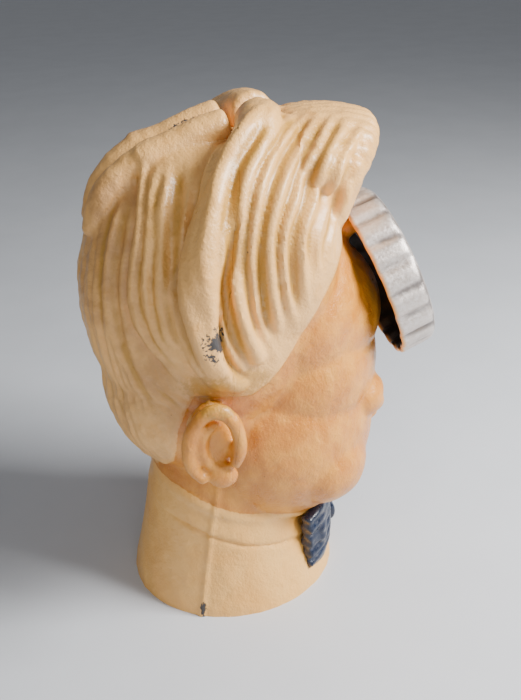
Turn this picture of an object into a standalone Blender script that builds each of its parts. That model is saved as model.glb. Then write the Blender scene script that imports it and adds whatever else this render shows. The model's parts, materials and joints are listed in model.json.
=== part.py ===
"""Mechanical bank: a cast-iron head-and-collar bust with a tipping cap.

Tipping the cap pulls two links: one swings the coin gate under the crown slot, the other rolls the eyes.
The face looks along -Y, +Z is up, and the origin is on the floor under the middle of the whole object.
Places are given as (x, fwd, up) in millimetres, with fwd measured forward from the middle of the base.
"""
import math

import bmesh
import bpy
from mathutils import Matrix, Vector

MM = 0.001

# ---------------------------------------------------------------- driving dimensions, millimetres
BASE_LENGTH = 79.0
BASE_WIDTH = 73.5
BASE_SETBACK = 15.5         # base centre lies this far behind the origin
NECK_LENGTH = 62.0
NECK_WIDTH = 60.0
COLLAR_BACK_HEIGHT = 52.0
COLLAR_FRONT_HEIGHT = 24.0
HEAD_WIDTH = 87.0
HEAD_LENGTH = 90.0
HEAD_TOP = 174.0
HEAD_CENTRE_UP = 118.0
HAIR_THICKNESS = 3.5        # how far the hair stands out from the skull at the sides
EAR_SPAN = 104.0
WALL = 4.5
JOINT_GAP = 0.3

CAP_DIAMETER = 61.0
CAP_DEPTH = 14.0
CAP_WALL = 2.4
CAP_RIBS = 20
CAP_TILT = 20.0             # degrees its axis points above forward
CAP_RIM_FWD = 54.2          # centre of its rear rim
CAP_RIM_UP = 116.3

PIN_RADIUS = 1.5
PIN_CLEARANCE = 0.3
HINGE_RISE = 22.3           # cap hinge, up the cap's face from its middle
HINGE_DEPTH = 3.0           # and forward of its rear rim
CRANK_BACK = 18.0           # every crank pin lies this far behind its own pivot
CRANK_DOWN = 14.0           # and this far below it
CRANK_THICKNESS = 2.8
GATE_THICKNESS = 2.0
GATE_CLEARANCE = 1.0        # between the chute's mouth and the gate
GATE_HUB_RADIUS = 3.2
EYE_FWD = 47.5
EYE_UP = 77.0
EYE_SPACING = 29.0
EYE_RADIUS = 7.5
LINK_THICKNESS = 1.6
LINK_RADIUS = 2.7
GATE_LINK_X = 3.4
EYE_LINK_X = 6.0

SLOT_LENGTH = 34.0
SLOT_WIDTH = 3.6
SLOT_FWD = -15.5
SLOT_UP = 168.0
SLOT_SLOPE = 33.0           # degrees the crown rises forward at the slot
CHUTE_SHEET = 1.2
CHUTE_START = 12.5          # below the slot mouth, along the chute
CHUTE_LENGTH = 17.0

PLATE_RECESS = 8.0
PLATE_THICKNESS = 3.0
TRAP_OPENING = 32.0
TRAP_LAP = 2.5
TRAP_THICKNESS = 2.4
LATCH_THICKNESS = 2.0

SCREW_RADIUS = 2.0
SCREW_HEAD_RADIUS = 4.2
SCREW_HEAD_HEIGHT = 2.6
POST_RADIUS = 4.6
SCREW_X = 14.0               # the case screws stand to the proper left of the middle
UPPER_SCREW_UP = 94.0
LOWER_SCREW_UP = 24.0

# the casting joint as seen from the side: (fwd, up), rising from the floor
JOINT_LINE = ((-19.0, -6.0), (-8.0, 52.0), (-2.0, 95.0), (-3.0, 125.0), (1.0, 152.0), (6.0, 172.0),
              (8.0, 200.0))

# ---------------------------------------------------------------- scene and helpers
for old in list(bpy.data.objects):
    bpy.data.objects.remove(old, do_unlink=True)

parts = bpy.data.collections.new("mechanical_bank")
tools = bpy.data.collections.new("cutters")
bpy.context.scene.collection.children.link(parts)
bpy.context.scene.collection.children.link(tools)


def at(x, fwd, up):
    """World position of a place given in millimetres."""
    return Vector((x, BASE_SETBACK - fwd, up)) * MM


def flat(where):
    """A world position as (fwd, up) in millimetres."""
    return (BASE_SETBACK - where.y / MM, where.z / MM)


def material(name, colour, roughness, metallic=0.0):
    mat = bpy.data.materials.new(name)
    mat.use_nodes = True
    shader = mat.node_tree.nodes["Principled BSDF"]
    shader.inputs["Base Color"].default_value = (*colour, 1.0)
    shader.inputs["Roughness"].default_value = roughness
    shader.inputs["Metallic"].default_value = metallic
    mat.diffuse_color = (*colour, 1.0)
    return mat


HAIR_PAINT = material("hair_paint", (0.80, 0.66, 0.45), 0.35)
SKIN_PAINT = material("skin_paint", (0.75, 0.45, 0.20), 0.35)
BOW_PAINT = material("bow_paint", (0.02, 0.06, 0.20), 0.3)
CAP_SILVER = material("cap_silver", (0.50, 0.50, 0.52), 0.4, 0.8)
EYE_PAINT = material("eye_paint", (0.70, 0.68, 0.62), 0.2)
BARE_IRON = material("bare_iron", (0.12, 0.11, 0.10), 0.6, 0.9)
STEEL = material("steel", (0.45, 0.45, 0.47), 0.35, 1.0)
BRASS = material("brass", (0.62, 0.45, 0.18), 0.35, 1.0)


def add(name, bm, where, paint=None, smooth=True):
    """Turn a bmesh into an object: a painted part, or a cutter when it has no paint."""
    bmesh.ops.recalc_face_normals(bm, faces=bm.faces)
    mesh = bpy.data.meshes.new(name)
    bm.to_mesh(mesh)
    bm.free()
    obj = bpy.data.objects.new(name, mesh)
    obj.location = where
    if paint is None:
        tools.objects.link(obj)
        obj.hide_render = True
        obj.display_type = "WIRE"
    else:
        parts.objects.link(obj)
        mesh.materials.append(paint)
        if smooth:
            mesh.shade_smooth()
            mesh.set_sharp_from_angle(angle=math.radians(35))
    return obj


def box(name, centre, size, paint=None, tilt=0.0):
    """Box of size (x, fwd, up) in millimetres, tilted about X."""
    bm = bmesh.new()
    bmesh.ops.create_cube(bm, size=1.0)
    bmesh.ops.scale(bm, vec=Vector(size) * MM, verts=bm.verts)
    obj = add(name, bm, centre, paint, smooth=False)
    obj.rotation_euler.x = math.radians(tilt)
    return obj


def rod(name, start, end, radius, paint=None, segments=16, end_radius=None):
    """Round bar between two world points, with its origin in the middle."""
    bm = bmesh.new()
    span = end - start
    far = radius if end_radius is None else end_radius
    bmesh.ops.create_cone(bm, cap_ends=True, segments=segments, radius1=radius * MM, radius2=far * MM,
                          depth=span.length)
    turn = Vector((0, 0, 1)).rotation_difference(span.normalized()).to_matrix()
    bmesh.ops.rotate(bm, cent=(0, 0, 0), matrix=turn, verts=bm.verts)
    return add(name, bm, (start + end) / 2, paint)


def ball(name, centre, radii, paint=None, segments=32, rings=20):
    """Ellipsoid with radii (x, fwd, up) in millimetres."""
    bm = bmesh.new()
    bmesh.ops.create_uvsphere(bm, u_segments=segments, v_segments=rings, radius=MM)
    bmesh.ops.scale(bm, vec=Vector(radii), verts=bm.verts)
    return add(name, bm, centre, paint)


def modify(obj, kind, name, **settings):
    mod = obj.modifiers.new(name, kind)
    for key, value in settings.items():
        setattr(mod, key, value)
    return mod


def fuse(obj, *others):
    for other in others:
        modify(obj, "BOOLEAN", "fuse " + other.name, operation="UNION", solver="MANIFOLD", object=other)
    return obj


def cut(obj, *others):
    for other in others:
        modify(obj, "BOOLEAN", "cut " + other.name, operation="DIFFERENCE", solver="MANIFOLD", object=other)
    return obj


def plate(name, outline, thickness, x, pivot, paint=None):
    """Flat plate standing across X, from an outline of (fwd, up) points; its origin is at pivot (fwd, up)."""
    curve = bpy.data.curves.new(name + "_outline", "CURVE")
    curve.dimensions = "2D"
    curve.fill_mode = "BOTH"
    curve.extrude = thickness * MM / 2
    spline = curve.splines.new("POLY")
    spline.points.add(len(outline) - 1)
    for point, (fwd, up) in zip(spline.points, outline):
        point.co = ((pivot[0] - fwd) * MM, (up - pivot[1]) * MM, 0, 1)
    spline.use_cyclic_u = True
    drawn = bpy.data.objects.new(name + "_outline", curve)
    tools.objects.link(drawn)
    bpy.context.view_layer.update()
    mesh = bpy.data.meshes.new_from_object(drawn.evaluated_get(bpy.context.evaluated_depsgraph_get()))
    bpy.data.objects.remove(drawn)
    bm = bmesh.new()
    bm.from_mesh(mesh)
    bpy.data.meshes.remove(mesh)
    bmesh.ops.remove_doubles(bm, verts=bm.verts, dist=1e-6)
    stand = Matrix(((0, 0, 1), (1, 0, 0), (0, 1, 0)))
    bmesh.ops.transform(bm, matrix=stand.to_4x4(), verts=bm.verts)
    return add(name, bm, at(x, *pivot), paint, smooth=False)


def strap(start, end, radius, end_radius=None, steps=10):
    """Outline of a flat bar with round ends, from one (fwd, up) point to another."""
    far = radius if end_radius is None else end_radius
    heading = math.atan2(end[1] - start[1], end[0] - start[0])
    points = []
    for centre, size, turn in ((end, far, -90), (start, radius, 90)):
        for step in range(steps + 1):
            angle = heading + math.radians(turn + 180 * step / steps)
            points.append((centre[0] + size * math.cos(angle), centre[1] + size * math.sin(angle)))
    return points


def pin(name, x_from, x_to, fwd, up, radius=PIN_RADIUS, paint=STEEL):
    return rod(name, at(x_from, fwd, up), at(x_to, fwd, up), radius, paint)


def across(name, fwd, up, radius=PIN_RADIUS + PIN_CLEARANCE, reach=30.0, x=0.0):
    """Cutter for a hole along X."""
    return rod(name, at(x - reach, fwd, up), at(x + reach, fwd, up), radius)


# ---------------------------------------------------------------- the bust: outer form, hollow and joint
def collar(name, inset, bottom):
    """Oval collar that flares to the base, its top sloping down to the front."""
    bm = bmesh.new()
    bmesh.ops.create_cone(bm, cap_ends=True, segments=48, radius1=1.0, radius2=1.0, depth=1.0)
    upright = [edge for edge in bm.edges if abs(edge.verts[0].co.z - edge.verts[1].co.z) > 0.5]
    bmesh.ops.subdivide_edges(bm, edges=upright, cuts=4)
    for vert in bm.verts:
        ahead = 0.5 - vert.co.y / 2
        top = COLLAR_BACK_HEIGHT + (COLLAR_FRONT_HEIGHT - COLLAR_BACK_HEIGHT) * ahead
        height = bottom + (top - bottom) * (vert.co.z + 0.5)
        flare = (1.0 - max(height, 0.0) / top) ** 1.7
        half_length = (NECK_LENGTH + (BASE_LENGTH - NECK_LENGTH) * flare) / 2 - inset
        half_width = (NECK_WIDTH + (BASE_WIDTH - NECK_WIDTH) * flare) / 2 - inset
        vert.co = Vector((vert.co.x * half_width, vert.co.y * half_length, height)) * MM
    return add(name, bm, at(0, 0, 0))


SKULL = (0, -0.5, HEAD_CENTRE_UP)
SKULL_RADII = (HEAD_WIDTH / 2, HEAD_LENGTH / 2, HEAD_TOP - HEAD_CENTRE_UP)
BLOCKS = (
    # name, centre (x, fwd, up), radii (x, fwd, up), hollow inside
    ("skull", SKULL, SKULL_RADII, True),
    ("occiput", (0, -8, 88), (37, 34.5, 38), True),
    ("brow", (0, 25, 90), (36, 33, 33), True),
    ("forehead", (0, 22, 112), (37, 31.0, 34), True),
    ("face", (0, 20, 66), (38.5, 38.5, 43), True),
    ("neck", (0, 0, 45), (30, 29, 34), True),
    ("chin", (0, 36, 36.5), (18, 14, 13), False),
    ("cheek_left", (17, 33, 55), (19, 18, 18), False),
    ("cheek_right", (-17, 33, 55), (19, 18, 18), False),
    ("nose", (0, 57.5, 62), (7, 7.5, 8), False),
    ("lips", (0, 51.5, 46), (11, 6, 4.5), False),
    ("hair_mass", (0, -1.5, 120), (HEAD_WIDTH / 2 + HAIR_THICKNESS, 44.5, 50), False),
    ("top_curl", (0, 9, 168), (25, 18, 15), False),
    ("quiff", (0, 33, 164.5), (34, 22, 15), False),
    ("side_hair_left", (20, 11, 138), (26, 29, 38), False),
    ("side_hair_right", (-20, 11, 138), (26, 29, 38), False),
    ("ear_left", (EAR_SPAN / 2 - 8, -10.2, 85), (8, 9.5, 17), False),
    ("ear_right", (8 - EAR_SPAN / 2, -10.2, 85), (8, 9.5, 17), False),
)


def merge(name, pieces, voxel, keep):
    """One closed skin round overlapping pieces, thinned to fewer faces."""
    bm = bmesh.new()
    for piece in pieces:
        copy = piece.data.copy()
        copy.transform(Matrix.Translation(piece.location))
        bm.from_mesh(copy)
        bpy.data.meshes.remove(copy)
        bpy.data.objects.remove(piece)
    merged = add(name, bm, (0, 0, 0))
    modify(merged, "REMESH", "skin", mode="VOXEL", voxel_size=voxel * MM, use_smooth_shade=True)
    modify(merged, "SMOOTH", "blend", factor=0.5, iterations=10)
    modify(merged, "DECIMATE", "thin out", ratio=keep)
    bpy.context.view_layer.update()
    mesh = bpy.data.meshes.new_from_object(merged.evaluated_get(bpy.context.evaluated_depsgraph_get()))
    bpy.data.objects.remove(merged)
    obj = bpy.data.objects.new(name, mesh)
    tools.objects.link(obj)
    obj.hide_render = True
    obj.display_type = "WIRE"
    return obj


outer = [ball(name, at(*centre), radii) for name, centre, radii, hollow in BLOCKS]
outer.append(collar("collar_outer", 0.0, -8.0))
form = merge("bust_form", outer, 2.2, 0.09)

inner = [ball("hollow_" + name, at(*centre), [radius - WALL for radius in radii])
         for name, centre, radii, hollow in BLOCKS if hollow]
inner.append(collar("collar_inner", WALL, -8.0))
hollow_form = merge("bust_hollow", inner, 3.0, 0.07)

floor_cut = box("below_floor", at(0, 0, -30), (200, 200, 60))


def joint_block(name, towards, shift):
    """Everything on one side of the casting joint; shift leaves the joint's gap."""
    far = 140.0 * towards
    line = [(fwd + shift, up) for fwd, up in JOINT_LINE]
    outline = line + [(far, JOINT_LINE[-1][1]), (far, JOINT_LINE[0][1])]
    return plate(name, outline, 180.0, 0.0, (0.0, 0.0))


ahead_block = joint_block("ahead_of_joint", 1, -JOINT_GAP / 2)
behind_block = joint_block("behind_joint", -1, JOINT_GAP / 2)


def casting(name, paint, other_side):
    mesh = form.data.copy()
    mesh.materials.clear()
    mesh.materials.append(paint)
    obj = bpy.data.objects.new(name, mesh)
    parts.objects.link(obj)
    cut(obj, floor_cut, hollow_form, other_side)
    return obj


front_casting = casting("front_casting", SKIN_PAINT, behind_block)
rear_casting = casting("rear_casting", HAIR_PAINT, ahead_block)


# ---------------------------------------------------------------- the cap's own frame, and the pivots
CAP_AXIS = Vector((0, -math.cos(math.radians(CAP_TILT)), math.sin(math.radians(CAP_TILT))))
CAP_TURN = Vector((0, 0, 1)).rotation_difference(CAP_AXIS)


def cap_place(side, rise, depth):
    """World place inside the cap: sideways, up its face, and forward of its rear rim."""
    tilt = math.radians(CAP_TILT)
    return at(side, CAP_RIM_FWD + depth * math.cos(tilt) - rise * math.sin(tilt),
              CAP_RIM_UP + depth * math.sin(tilt) + rise * math.cos(tilt))


def cap_flat(rise, depth):
    """The same place as (fwd, up)."""
    return flat(cap_place(0, rise, depth))


HINGE = cap_flat(HINGE_RISE, HINGE_DEPTH)
EYE = (EYE_FWD, EYE_UP)


def crank_end(pivot):
    return (pivot[0] - CRANK_BACK, pivot[1] - CRANK_DOWN)


# -------------------------------------------------- coin slot and chute, in the slot's own tilted frame
SLOT_TURN = Matrix.Rotation(math.radians(-SLOT_SLOPE), 3, "X")


def slot_place(x, along, below):
    """World place given along the slot (forward is positive) and below its mouth."""
    return at(0, SLOT_FWD, SLOT_UP) + SLOT_TURN @ (Vector((x, -along, -below)) * MM)


def slot_box(name, x, along, below, size, paint=None):
    return box(name, slot_place(x, along, below), size, paint, tilt=-SLOT_SLOPE)


CHUTE_WIDTH = SLOT_WIDTH + 2 * CHUTE_SHEET
CHUTE_SPAN = SLOT_LENGTH + 2 * CHUTE_SHEET
CHUTE_END = CHUTE_START + CHUTE_LENGTH
GATE_BELOW = CHUTE_END + GATE_CLEARANCE + GATE_THICKNESS / 2
GATE_ALONG = CHUTE_SPAN / 2 + GATE_HUB_RADIUS + 1.0
GATE = flat(slot_place(0, GATE_ALONG, GATE_BELOW))
TAB_REACH = 9.0
TAB_SCREW = 7.5             # rivet distance from the middle plane
BOSS_RADIUS = 3.4
RIVET_RADIUS = 1.3

cut(rear_casting, slot_box("slot_cutter", 0, 0, 0, (SLOT_WIDTH, SLOT_LENGTH, 30)))

chute_middle = CHUTE_START + CHUTE_LENGTH / 2
coin_chute = slot_box("coin_chute", 0, 0, chute_middle, (CHUTE_WIDTH, CHUTE_SPAN, CHUTE_LENGTH), BRASS)
tabs = slot_box("chute_tabs", 0, -2, CHUTE_START + CHUTE_SHEET / 2,
                (2 * (TAB_REACH + 2), 10, CHUTE_SHEET))
chute_corner = flat(slot_place(0, CHUTE_SPAN / 2 - 4, CHUTE_END - 5))
chute_ears = [plate("chute_ear_" + side, strap(GATE, chute_corner, GATE_HUB_RADIUS + 0.4, 4.5),
                    CHUTE_SHEET * 0.9, sign * (SLOT_WIDTH + CHUTE_SHEET) / 2, GATE)
              for side, sign in (("left", 1), ("right", -1))]
fuse(coin_chute, tabs, *chute_ears)
cut(coin_chute, slot_box("chute_bore", 0, 0, chute_middle, (SLOT_WIDTH, SLOT_LENGTH, CHUTE_LENGTH + 10)),
    across("gate_pin_hole_in_chute", *GATE))
for side, sign in (("left", 1), ("right", -1)):
    seat = slot_place(sign * TAB_SCREW, -2, CHUTE_START - JOINT_GAP)
    fuse(rear_casting, rod("chute_boss_" + side, seat, slot_place(sign * TAB_SCREW, -2, 2.5), BOSS_RADIUS))
    shank = rod("chute_rivet_" + side, slot_place(sign * TAB_SCREW, -2, CHUTE_START + CHUTE_SHEET + 1.0),
                slot_place(sign * TAB_SCREW, -2, CHUTE_START - 4.5), RIVET_RADIUS, STEEL, segments=16)
    head = rod("chute_rivet_head_" + side, slot_place(sign * TAB_SCREW, -2,
                                                      CHUTE_START + CHUTE_SHEET + JOINT_GAP),
               slot_place(sign * TAB_SCREW, -2, CHUTE_START + CHUTE_SHEET + 1.6), 2.5, segments=16,
               end_radius=1.6)
    fuse(shank, head)
    hole = rod("chute_rivet_hole_" + side, slot_place(sign * TAB_SCREW, -2, CHUTE_START + 5),
               slot_place(sign * TAB_SCREW, -2, CHUTE_START - 5), RIVET_RADIUS + PIN_CLEARANCE, segments=16)
    cut(rear_casting, hole)
    cut(coin_chute, hole)

# ---------------------------------------------------------------- lugs and posts inside the front casting
LUG_RADIUS = 2.9
LUG_WIDTH = 3.0
CRANK_SLOT_WIDTH = CRANK_THICKNESS + 4 * JOINT_GAP
LUG_X = CRANK_SLOT_WIDTH / 2 + LUG_WIDTH / 2
hinge_lugs = plate("hinge_lugs", strap(HINGE, (HINGE[0] - 8.8, HINGE[1] - 6.3), LUG_RADIUS, 2.8, steps=8),
                   CRANK_SLOT_WIDTH + 2 * LUG_WIDTH, 0, HINGE)
fuse(front_casting, cut(hinge_lugs, across("hinge_pin_hole", *HINGE, reach=LUG_X + LUG_WIDTH)))
EYE_LUG_X = -3.5
EYE_LUG_WIDTH = 5.0
fuse(front_casting,
     plate("eye_lug", strap(EYE, (EYE_FWD + 5, EYE_UP), 3.2, 3.8), EYE_LUG_WIDTH, EYE_LUG_X, EYE))
POST_END = 2.0              # fwd of the posts' rear faces
fuse(front_casting,
     rod("upper_post", at(SCREW_X, POST_END, UPPER_SCREW_UP), at(SCREW_X, 52, UPPER_SCREW_UP), POST_RADIUS,
         segments=20),
     rod("lower_post", at(SCREW_X, POST_END + 4, LOWER_SCREW_UP), at(SCREW_X, 25, LOWER_SCREW_UP),
         POST_RADIUS,
         segments=20))
cut(front_casting,
    box("crank_slot", at(0, HINGE[0] - 7.5, HINGE[1] - 7), (CRANK_SLOT_WIDTH, 25, 24)),
    across("axle_hole", *EYE, reach=EYE_LUG_WIDTH / 2 + 2, x=EYE_LUG_X))
for side, sign in (("left", 1), ("right", -1)):
    cut(front_casting, ball("eye_socket_" + side, at(sign * EYE_SPACING / 2, *EYE), [EYE_RADIUS + 0.6] * 3,
                            segments=20, rings=12))

# -------------------------------------------------- screws that hold the two castings together
REAR_SEAT = {UPPER_SCREW_UP: -37.0, LOWER_SCREW_UP: -26.5}


def slotted_screw(name, tip, seat, radius, head_radius, head_height):
    """Cheese-head screw: its head rests at seat and its shank runs to tip."""
    along = (tip - seat).normalized() * MM
    screw = rod(name, seat - along * 0.1, tip, radius, STEEL, segments=20)
    fuse(screw, rod(name + "_head", seat, seat - along * head_height, head_radius, segments=24))
    driver = box(name + "_slot", seat - along * head_height, (1.0, 3 * head_radius, 2.0))
    driver.rotation_mode = "QUATERNION"
    driver.rotation_quaternion = Vector((0, 0, 1)).rotation_difference(along.normalized())
    cut(screw, driver)
    return screw


for place, up, reach in (("upper", UPPER_SCREW_UP, POST_END + 14), ("lower", LOWER_SCREW_UP,
                                                                    POST_END + 16)):
    seat = REAR_SEAT[up]
    fuse(rear_casting, rod(place + "_seat_boss", at(SCREW_X, seat - 0.5, up), at(SCREW_X, seat + 5, up),
                           6.5))
    cut(rear_casting,
        rod(place + "_counterbore", at(SCREW_X, seat - 20, up), at(SCREW_X, seat, up),
            SCREW_HEAD_RADIUS + 0.5,
            segments=24),
        rod(place + "_screw_hole", at(SCREW_X, seat - 1, up), at(SCREW_X, seat + 9, up),
            SCREW_RADIUS + PIN_CLEARANCE, segments=20))
    cut(front_casting, rod(place + "_tapped_hole", at(SCREW_X, POST_END - 2, up), at(SCREW_X,
                                                                                     reach + 1.5, up),
                           SCREW_RADIUS + PIN_CLEARANCE, segments=20))
    slotted_screw("case_screw_" + place, at(SCREW_X, reach, up), at(SCREW_X, seat - JOINT_GAP, up),
                  SCREW_RADIUS,
                  SCREW_HEAD_RADIUS, SCREW_HEAD_HEIGHT)

# ---------------------------------------------------------------- cap, its arm and hinge
def cap_shell():
    bm = bmesh.new()
    bmesh.ops.create_cone(bm, cap_ends=True, segments=4 * CAP_RIBS, radius1=1.0, radius2=1.0, depth=1.0)
    upright = [edge for edge in bm.edges if abs(edge.verts[0].co.z - edge.verts[1].co.z) > 0.5]
    bmesh.ops.subdivide_edges(bm, edges=upright, cuts=3)
    for vert in bm.verts:
        rise = vert.co.z + 0.5
        angle = math.atan2(vert.co.y, vert.co.x)
        rib = 0.7 * (math.cos(CAP_RIBS * angle) - 1) * (1 - rise ** 4)
        size = CAP_DIAMETER / 2 - 0.8 * rise - 2.6 * rise ** 6 + rib
        height = CAP_DEPTH * (1 - (1 - rise) ** 1.4)
        vert.co = Vector((size * math.cos(angle), size * math.sin(angle), height)) * MM
    bm.verts.ensure_lookup_table()
    bmesh.ops.rotate(bm, cent=(0, 0, 0), matrix=CAP_TURN.to_matrix(), verts=bm.verts)
    bmesh.ops.translate(bm, vec=cap_place(0, 0, 0) - at(0, *HINGE), verts=bm.verts)
    return add("cap_shell", bm, at(0, *HINGE), CAP_SILVER)


CAP_FLOOR = CAP_DEPTH - CAP_WALL
CAP_RIVET_RISE = -4.5
cap = cut(cap_shell(),
          rod("cap_bore", cap_place(0, 0, -3), cap_place(0, 0, CAP_FLOOR),
              CAP_DIAMETER / 2 - CAP_WALL - 1.0, segments=64, end_radius=CAP_DIAMETER / 2 - CAP_WALL - 2.6),
          rod("cap_rivet_hole", cap_place(0, CAP_RIVET_RISE, 5), cap_place(0, CAP_RIVET_RISE, 20), 1.9,
              segments=20))

ARM_FOOT_DEPTH = 2.2
FOOT_TOP = CAP_FLOOR - JOINT_GAP
cap_arm = plate("cap_arm", strap(HINGE, crank_end(HINGE), 3.2, 2.8), CRANK_THICKNESS, 0, HINGE, STEEL)
foot = box("arm_foot", cap_place(0, 6, FOOT_TOP - ARM_FOOT_DEPTH / 2), (9, ARM_FOOT_DEPTH, 30),
           tilt=-CAP_TILT)
fuse(cap_arm, plate("arm_web", strap(HINGE, cap_flat(4.0, FOOT_TOP - 3.5), 2.9, 2.6),
                    CRANK_THICKNESS - 0.2, 0,
                    HINGE), foot)
cut(cap_arm, across("arm_hinge_hole", *HINGE), across("arm_link_hole", *crank_end(HINGE)),
    rod("arm_rivet_hole", cap_place(0, CAP_RIVET_RISE, 4), cap_place(0, CAP_RIVET_RISE, 20), 1.9,
        segments=20))

cap_rivet = rod("cap_rivet", cap_place(0, CAP_RIVET_RISE, FOOT_TOP - ARM_FOOT_DEPTH - 1.0),
                cap_place(0, CAP_RIVET_RISE, CAP_DEPTH + 0.6), 1.6, STEEL, segments=20)
fuse(cap_rivet,
     rod("cap_rivet_tail", cap_place(0, CAP_RIVET_RISE, FOOT_TOP - ARM_FOOT_DEPTH - 1.7),
         cap_place(0, CAP_RIVET_RISE, FOOT_TOP - ARM_FOOT_DEPTH - JOINT_GAP), 2.2, segments=20,
         end_radius=2.9),
     rod("cap_rivet_head", cap_place(0, CAP_RIVET_RISE, CAP_DEPTH + JOINT_GAP),
         cap_place(0, CAP_RIVET_RISE, CAP_DEPTH + 1.5), 3.4, segments=24, end_radius=2.4))
hinge_reach = LUG_X + LUG_WIDTH / 2 + 0.8
pin("cap_hinge_pin", -hinge_reach, hinge_reach, *HINGE)

# ---------------------------------------------------------------- links, gate and eyes
HANDLE = crank_end(HINGE)


def headed_pin(name, x_from, x_to, fwd, up):
    """Pin with a flat head at its x_to end."""
    return fuse(pin(name, x_from, x_to, fwd, up), pin(name + "_head", x_to - 0.1, x_to + 1.0, fwd, up,
                                                      2.4, None))


def link(name, x, far):
    """Flat bar from the cap's crank pin to another crank pin."""
    bar = plate(name, strap(HANDLE, far, LINK_RADIUS - 0.6), LINK_THICKNESS, x, HANDLE, STEEL)
    for end in (HANDLE, far):
        fuse(bar, rod(name + "_eye", at(x - 0.7, *end), at(x + 0.7, *end), LINK_RADIUS + 0.4, segments=24))
    for end in (HANDLE, far):
        cut(bar, across(name + "_hole", *end, reach=4.0, x=x))
    return bar


link("gate_link", GATE_LINK_X, crank_end(GATE))
link("eye_link", EYE_LINK_X, crank_end(EYE))
headed_pin("link_pin", -CRANK_THICKNESS / 2 - 0.8, EYE_LINK_X + LINK_THICKNESS / 2 + JOINT_GAP, *HANDLE)

GATE_WIDTH = SLOT_WIDTH + 0.8
coin_gate = rod("coin_gate", at(-CRANK_THICKNESS / 2, *GATE), at(CRANK_THICKNESS / 2, *GATE),
                GATE_HUB_RADIUS,
                BRASS)
GATE_LEAF_START = 8.5       # from the pivot, past the chute's ears
GATE_REACH = CHUTE_SPAN - 5.0
fuse(coin_gate,
     slot_box("gate_leaf", 0, GATE_ALONG - GATE_LEAF_START - GATE_REACH / 2, GATE_BELOW,
              (GATE_WIDTH, GATE_REACH, GATE_THICKNESS)),
     plate("gate_neck", strap(GATE, flat(slot_place(0, GATE_ALONG - GATE_LEAF_START - 3, GATE_BELOW)),
                              1.2, 0.9),
           CRANK_THICKNESS - 0.3, 0, GATE),
     plate("gate_crank", strap(GATE, crank_end(GATE), 1.8, 2.8), CRANK_THICKNESS - 0.2, 0, GATE))
cut(coin_gate, across("gate_pivot_hole", *GATE), across("gate_crank_hole", *crank_end(GATE)))
ear_reach = SLOT_WIDTH / 2 + CHUTE_SHEET + 0.8
pin("gate_pivot_pin", -ear_reach, ear_reach, *GATE)
headed_pin("gate_link_pin", -CRANK_THICKNESS / 2 - 0.8, GATE_LINK_X + LINK_THICKNESS / 2 + JOINT_GAP,
           *crank_end(GATE))

EYE_CRANK_X = 3.6
EYE_CRANK_THICKNESS = 2.2
eye_crank = plate("eye_crank", strap(EYE, crank_end(EYE), 3.4, 2.8), EYE_CRANK_THICKNESS, EYE_CRANK_X,
                  EYE, BRASS)
cut(eye_crank, across("eye_crank_axle_hole", *EYE, reach=5, x=EYE_CRANK_X),
    across("eye_crank_pin_hole", *crank_end(EYE), reach=5, x=EYE_CRANK_X))
headed_pin("eye_link_pin", EYE_CRANK_X - EYE_CRANK_THICKNESS / 2 - 0.6,
           EYE_LINK_X + LINK_THICKNESS / 2 + JOINT_GAP,
           *crank_end(EYE))
AXLE_REACH = EYE_SPACING / 2 + 3.5
pin("eye_axle", -AXLE_REACH, AXLE_REACH, *EYE)
for side, sign in (("left", 1), ("right", -1)):
    eyeball = ball("eyeball_" + side, at(sign * EYE_SPACING / 2, *EYE), [EYE_RADIUS] * 3, EYE_PAINT,
                   segments=20, rings=12)
    bore_end = AXLE_REACH + JOINT_GAP
    cut(eyeball, rod("eyeball_bore_" + side, at(0, *EYE), at(sign * bore_end, *EYE),
                     PIN_RADIUS + PIN_CLEARANCE))

# ---------------------------------------------------------------- base plate, trap door and latch
PLATE_TOP = PLATE_RECESS + PLATE_THICKNESS
EDGE_CLEARANCE = 0.9
base_plate = box("base_plate", at(0, 0, PLATE_RECESS + PLATE_THICKNESS / 2), (100, 100,
                                                                              PLATE_THICKNESS), BARE_IRON)
modify(base_plate, "BOOLEAN", "trim to the collar", operation="INTERSECT",
       object=collar("plate_edge", WALL + EDGE_CLEARANCE, -8.0))

DOOR_SIZE = TRAP_OPENING + 2 * TRAP_LAP
DOOR_TOP = PLATE_RECESS - JOINT_GAP
KNUCKLE_RADIUS = 2.2
TRAP_PIN_RADIUS = 1.1
TRAP_HINGE = (-DOOR_SIZE / 2 - KNUCKLE_RADIUS - 0.3, DOOR_TOP - KNUCKLE_RADIUS - 0.1)
KNUCKLE_REACH = 8.0
TRAP_LUG_WIDTH = 4.0
trap_door = box("trap_door", at(0, 0, DOOR_TOP - TRAP_THICKNESS / 2), (DOOR_SIZE, DOOR_SIZE,
                                                                       TRAP_THICKNESS),
                BARE_IRON)
modify(trap_door, "BEVEL", "soft edges", width=0.0005, segments=1)
fuse(trap_door, rod("trap_knuckle", at(-KNUCKLE_REACH, *TRAP_HINGE), at(KNUCKLE_REACH, *TRAP_HINGE),
                    KNUCKLE_RADIUS),
     box("trap_leaf", at(0, -DOOR_SIZE / 2 - 0.6, TRAP_HINGE[1]), (2 * KNUCKLE_REACH - 0.4, 4.0, 1.6)))
trap_hole = across("trap_pin_hole", *TRAP_HINGE, radius=TRAP_PIN_RADIUS + PIN_CLEARANCE)
cut(trap_door, trap_hole)
for side, sign in (("left", 1), ("right", -1)):
    lug_x = sign * (KNUCKLE_REACH + JOINT_GAP + TRAP_LUG_WIDTH / 2)
    fuse(base_plate,
         plate("trap_lug_" + side, strap(TRAP_HINGE, (TRAP_HINGE[0], PLATE_RECESS + 1), 2.3),
               TRAP_LUG_WIDTH, lug_x,
               TRAP_HINGE))
LATCH_FWD = DOOR_SIZE / 2 + 4.4
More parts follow.
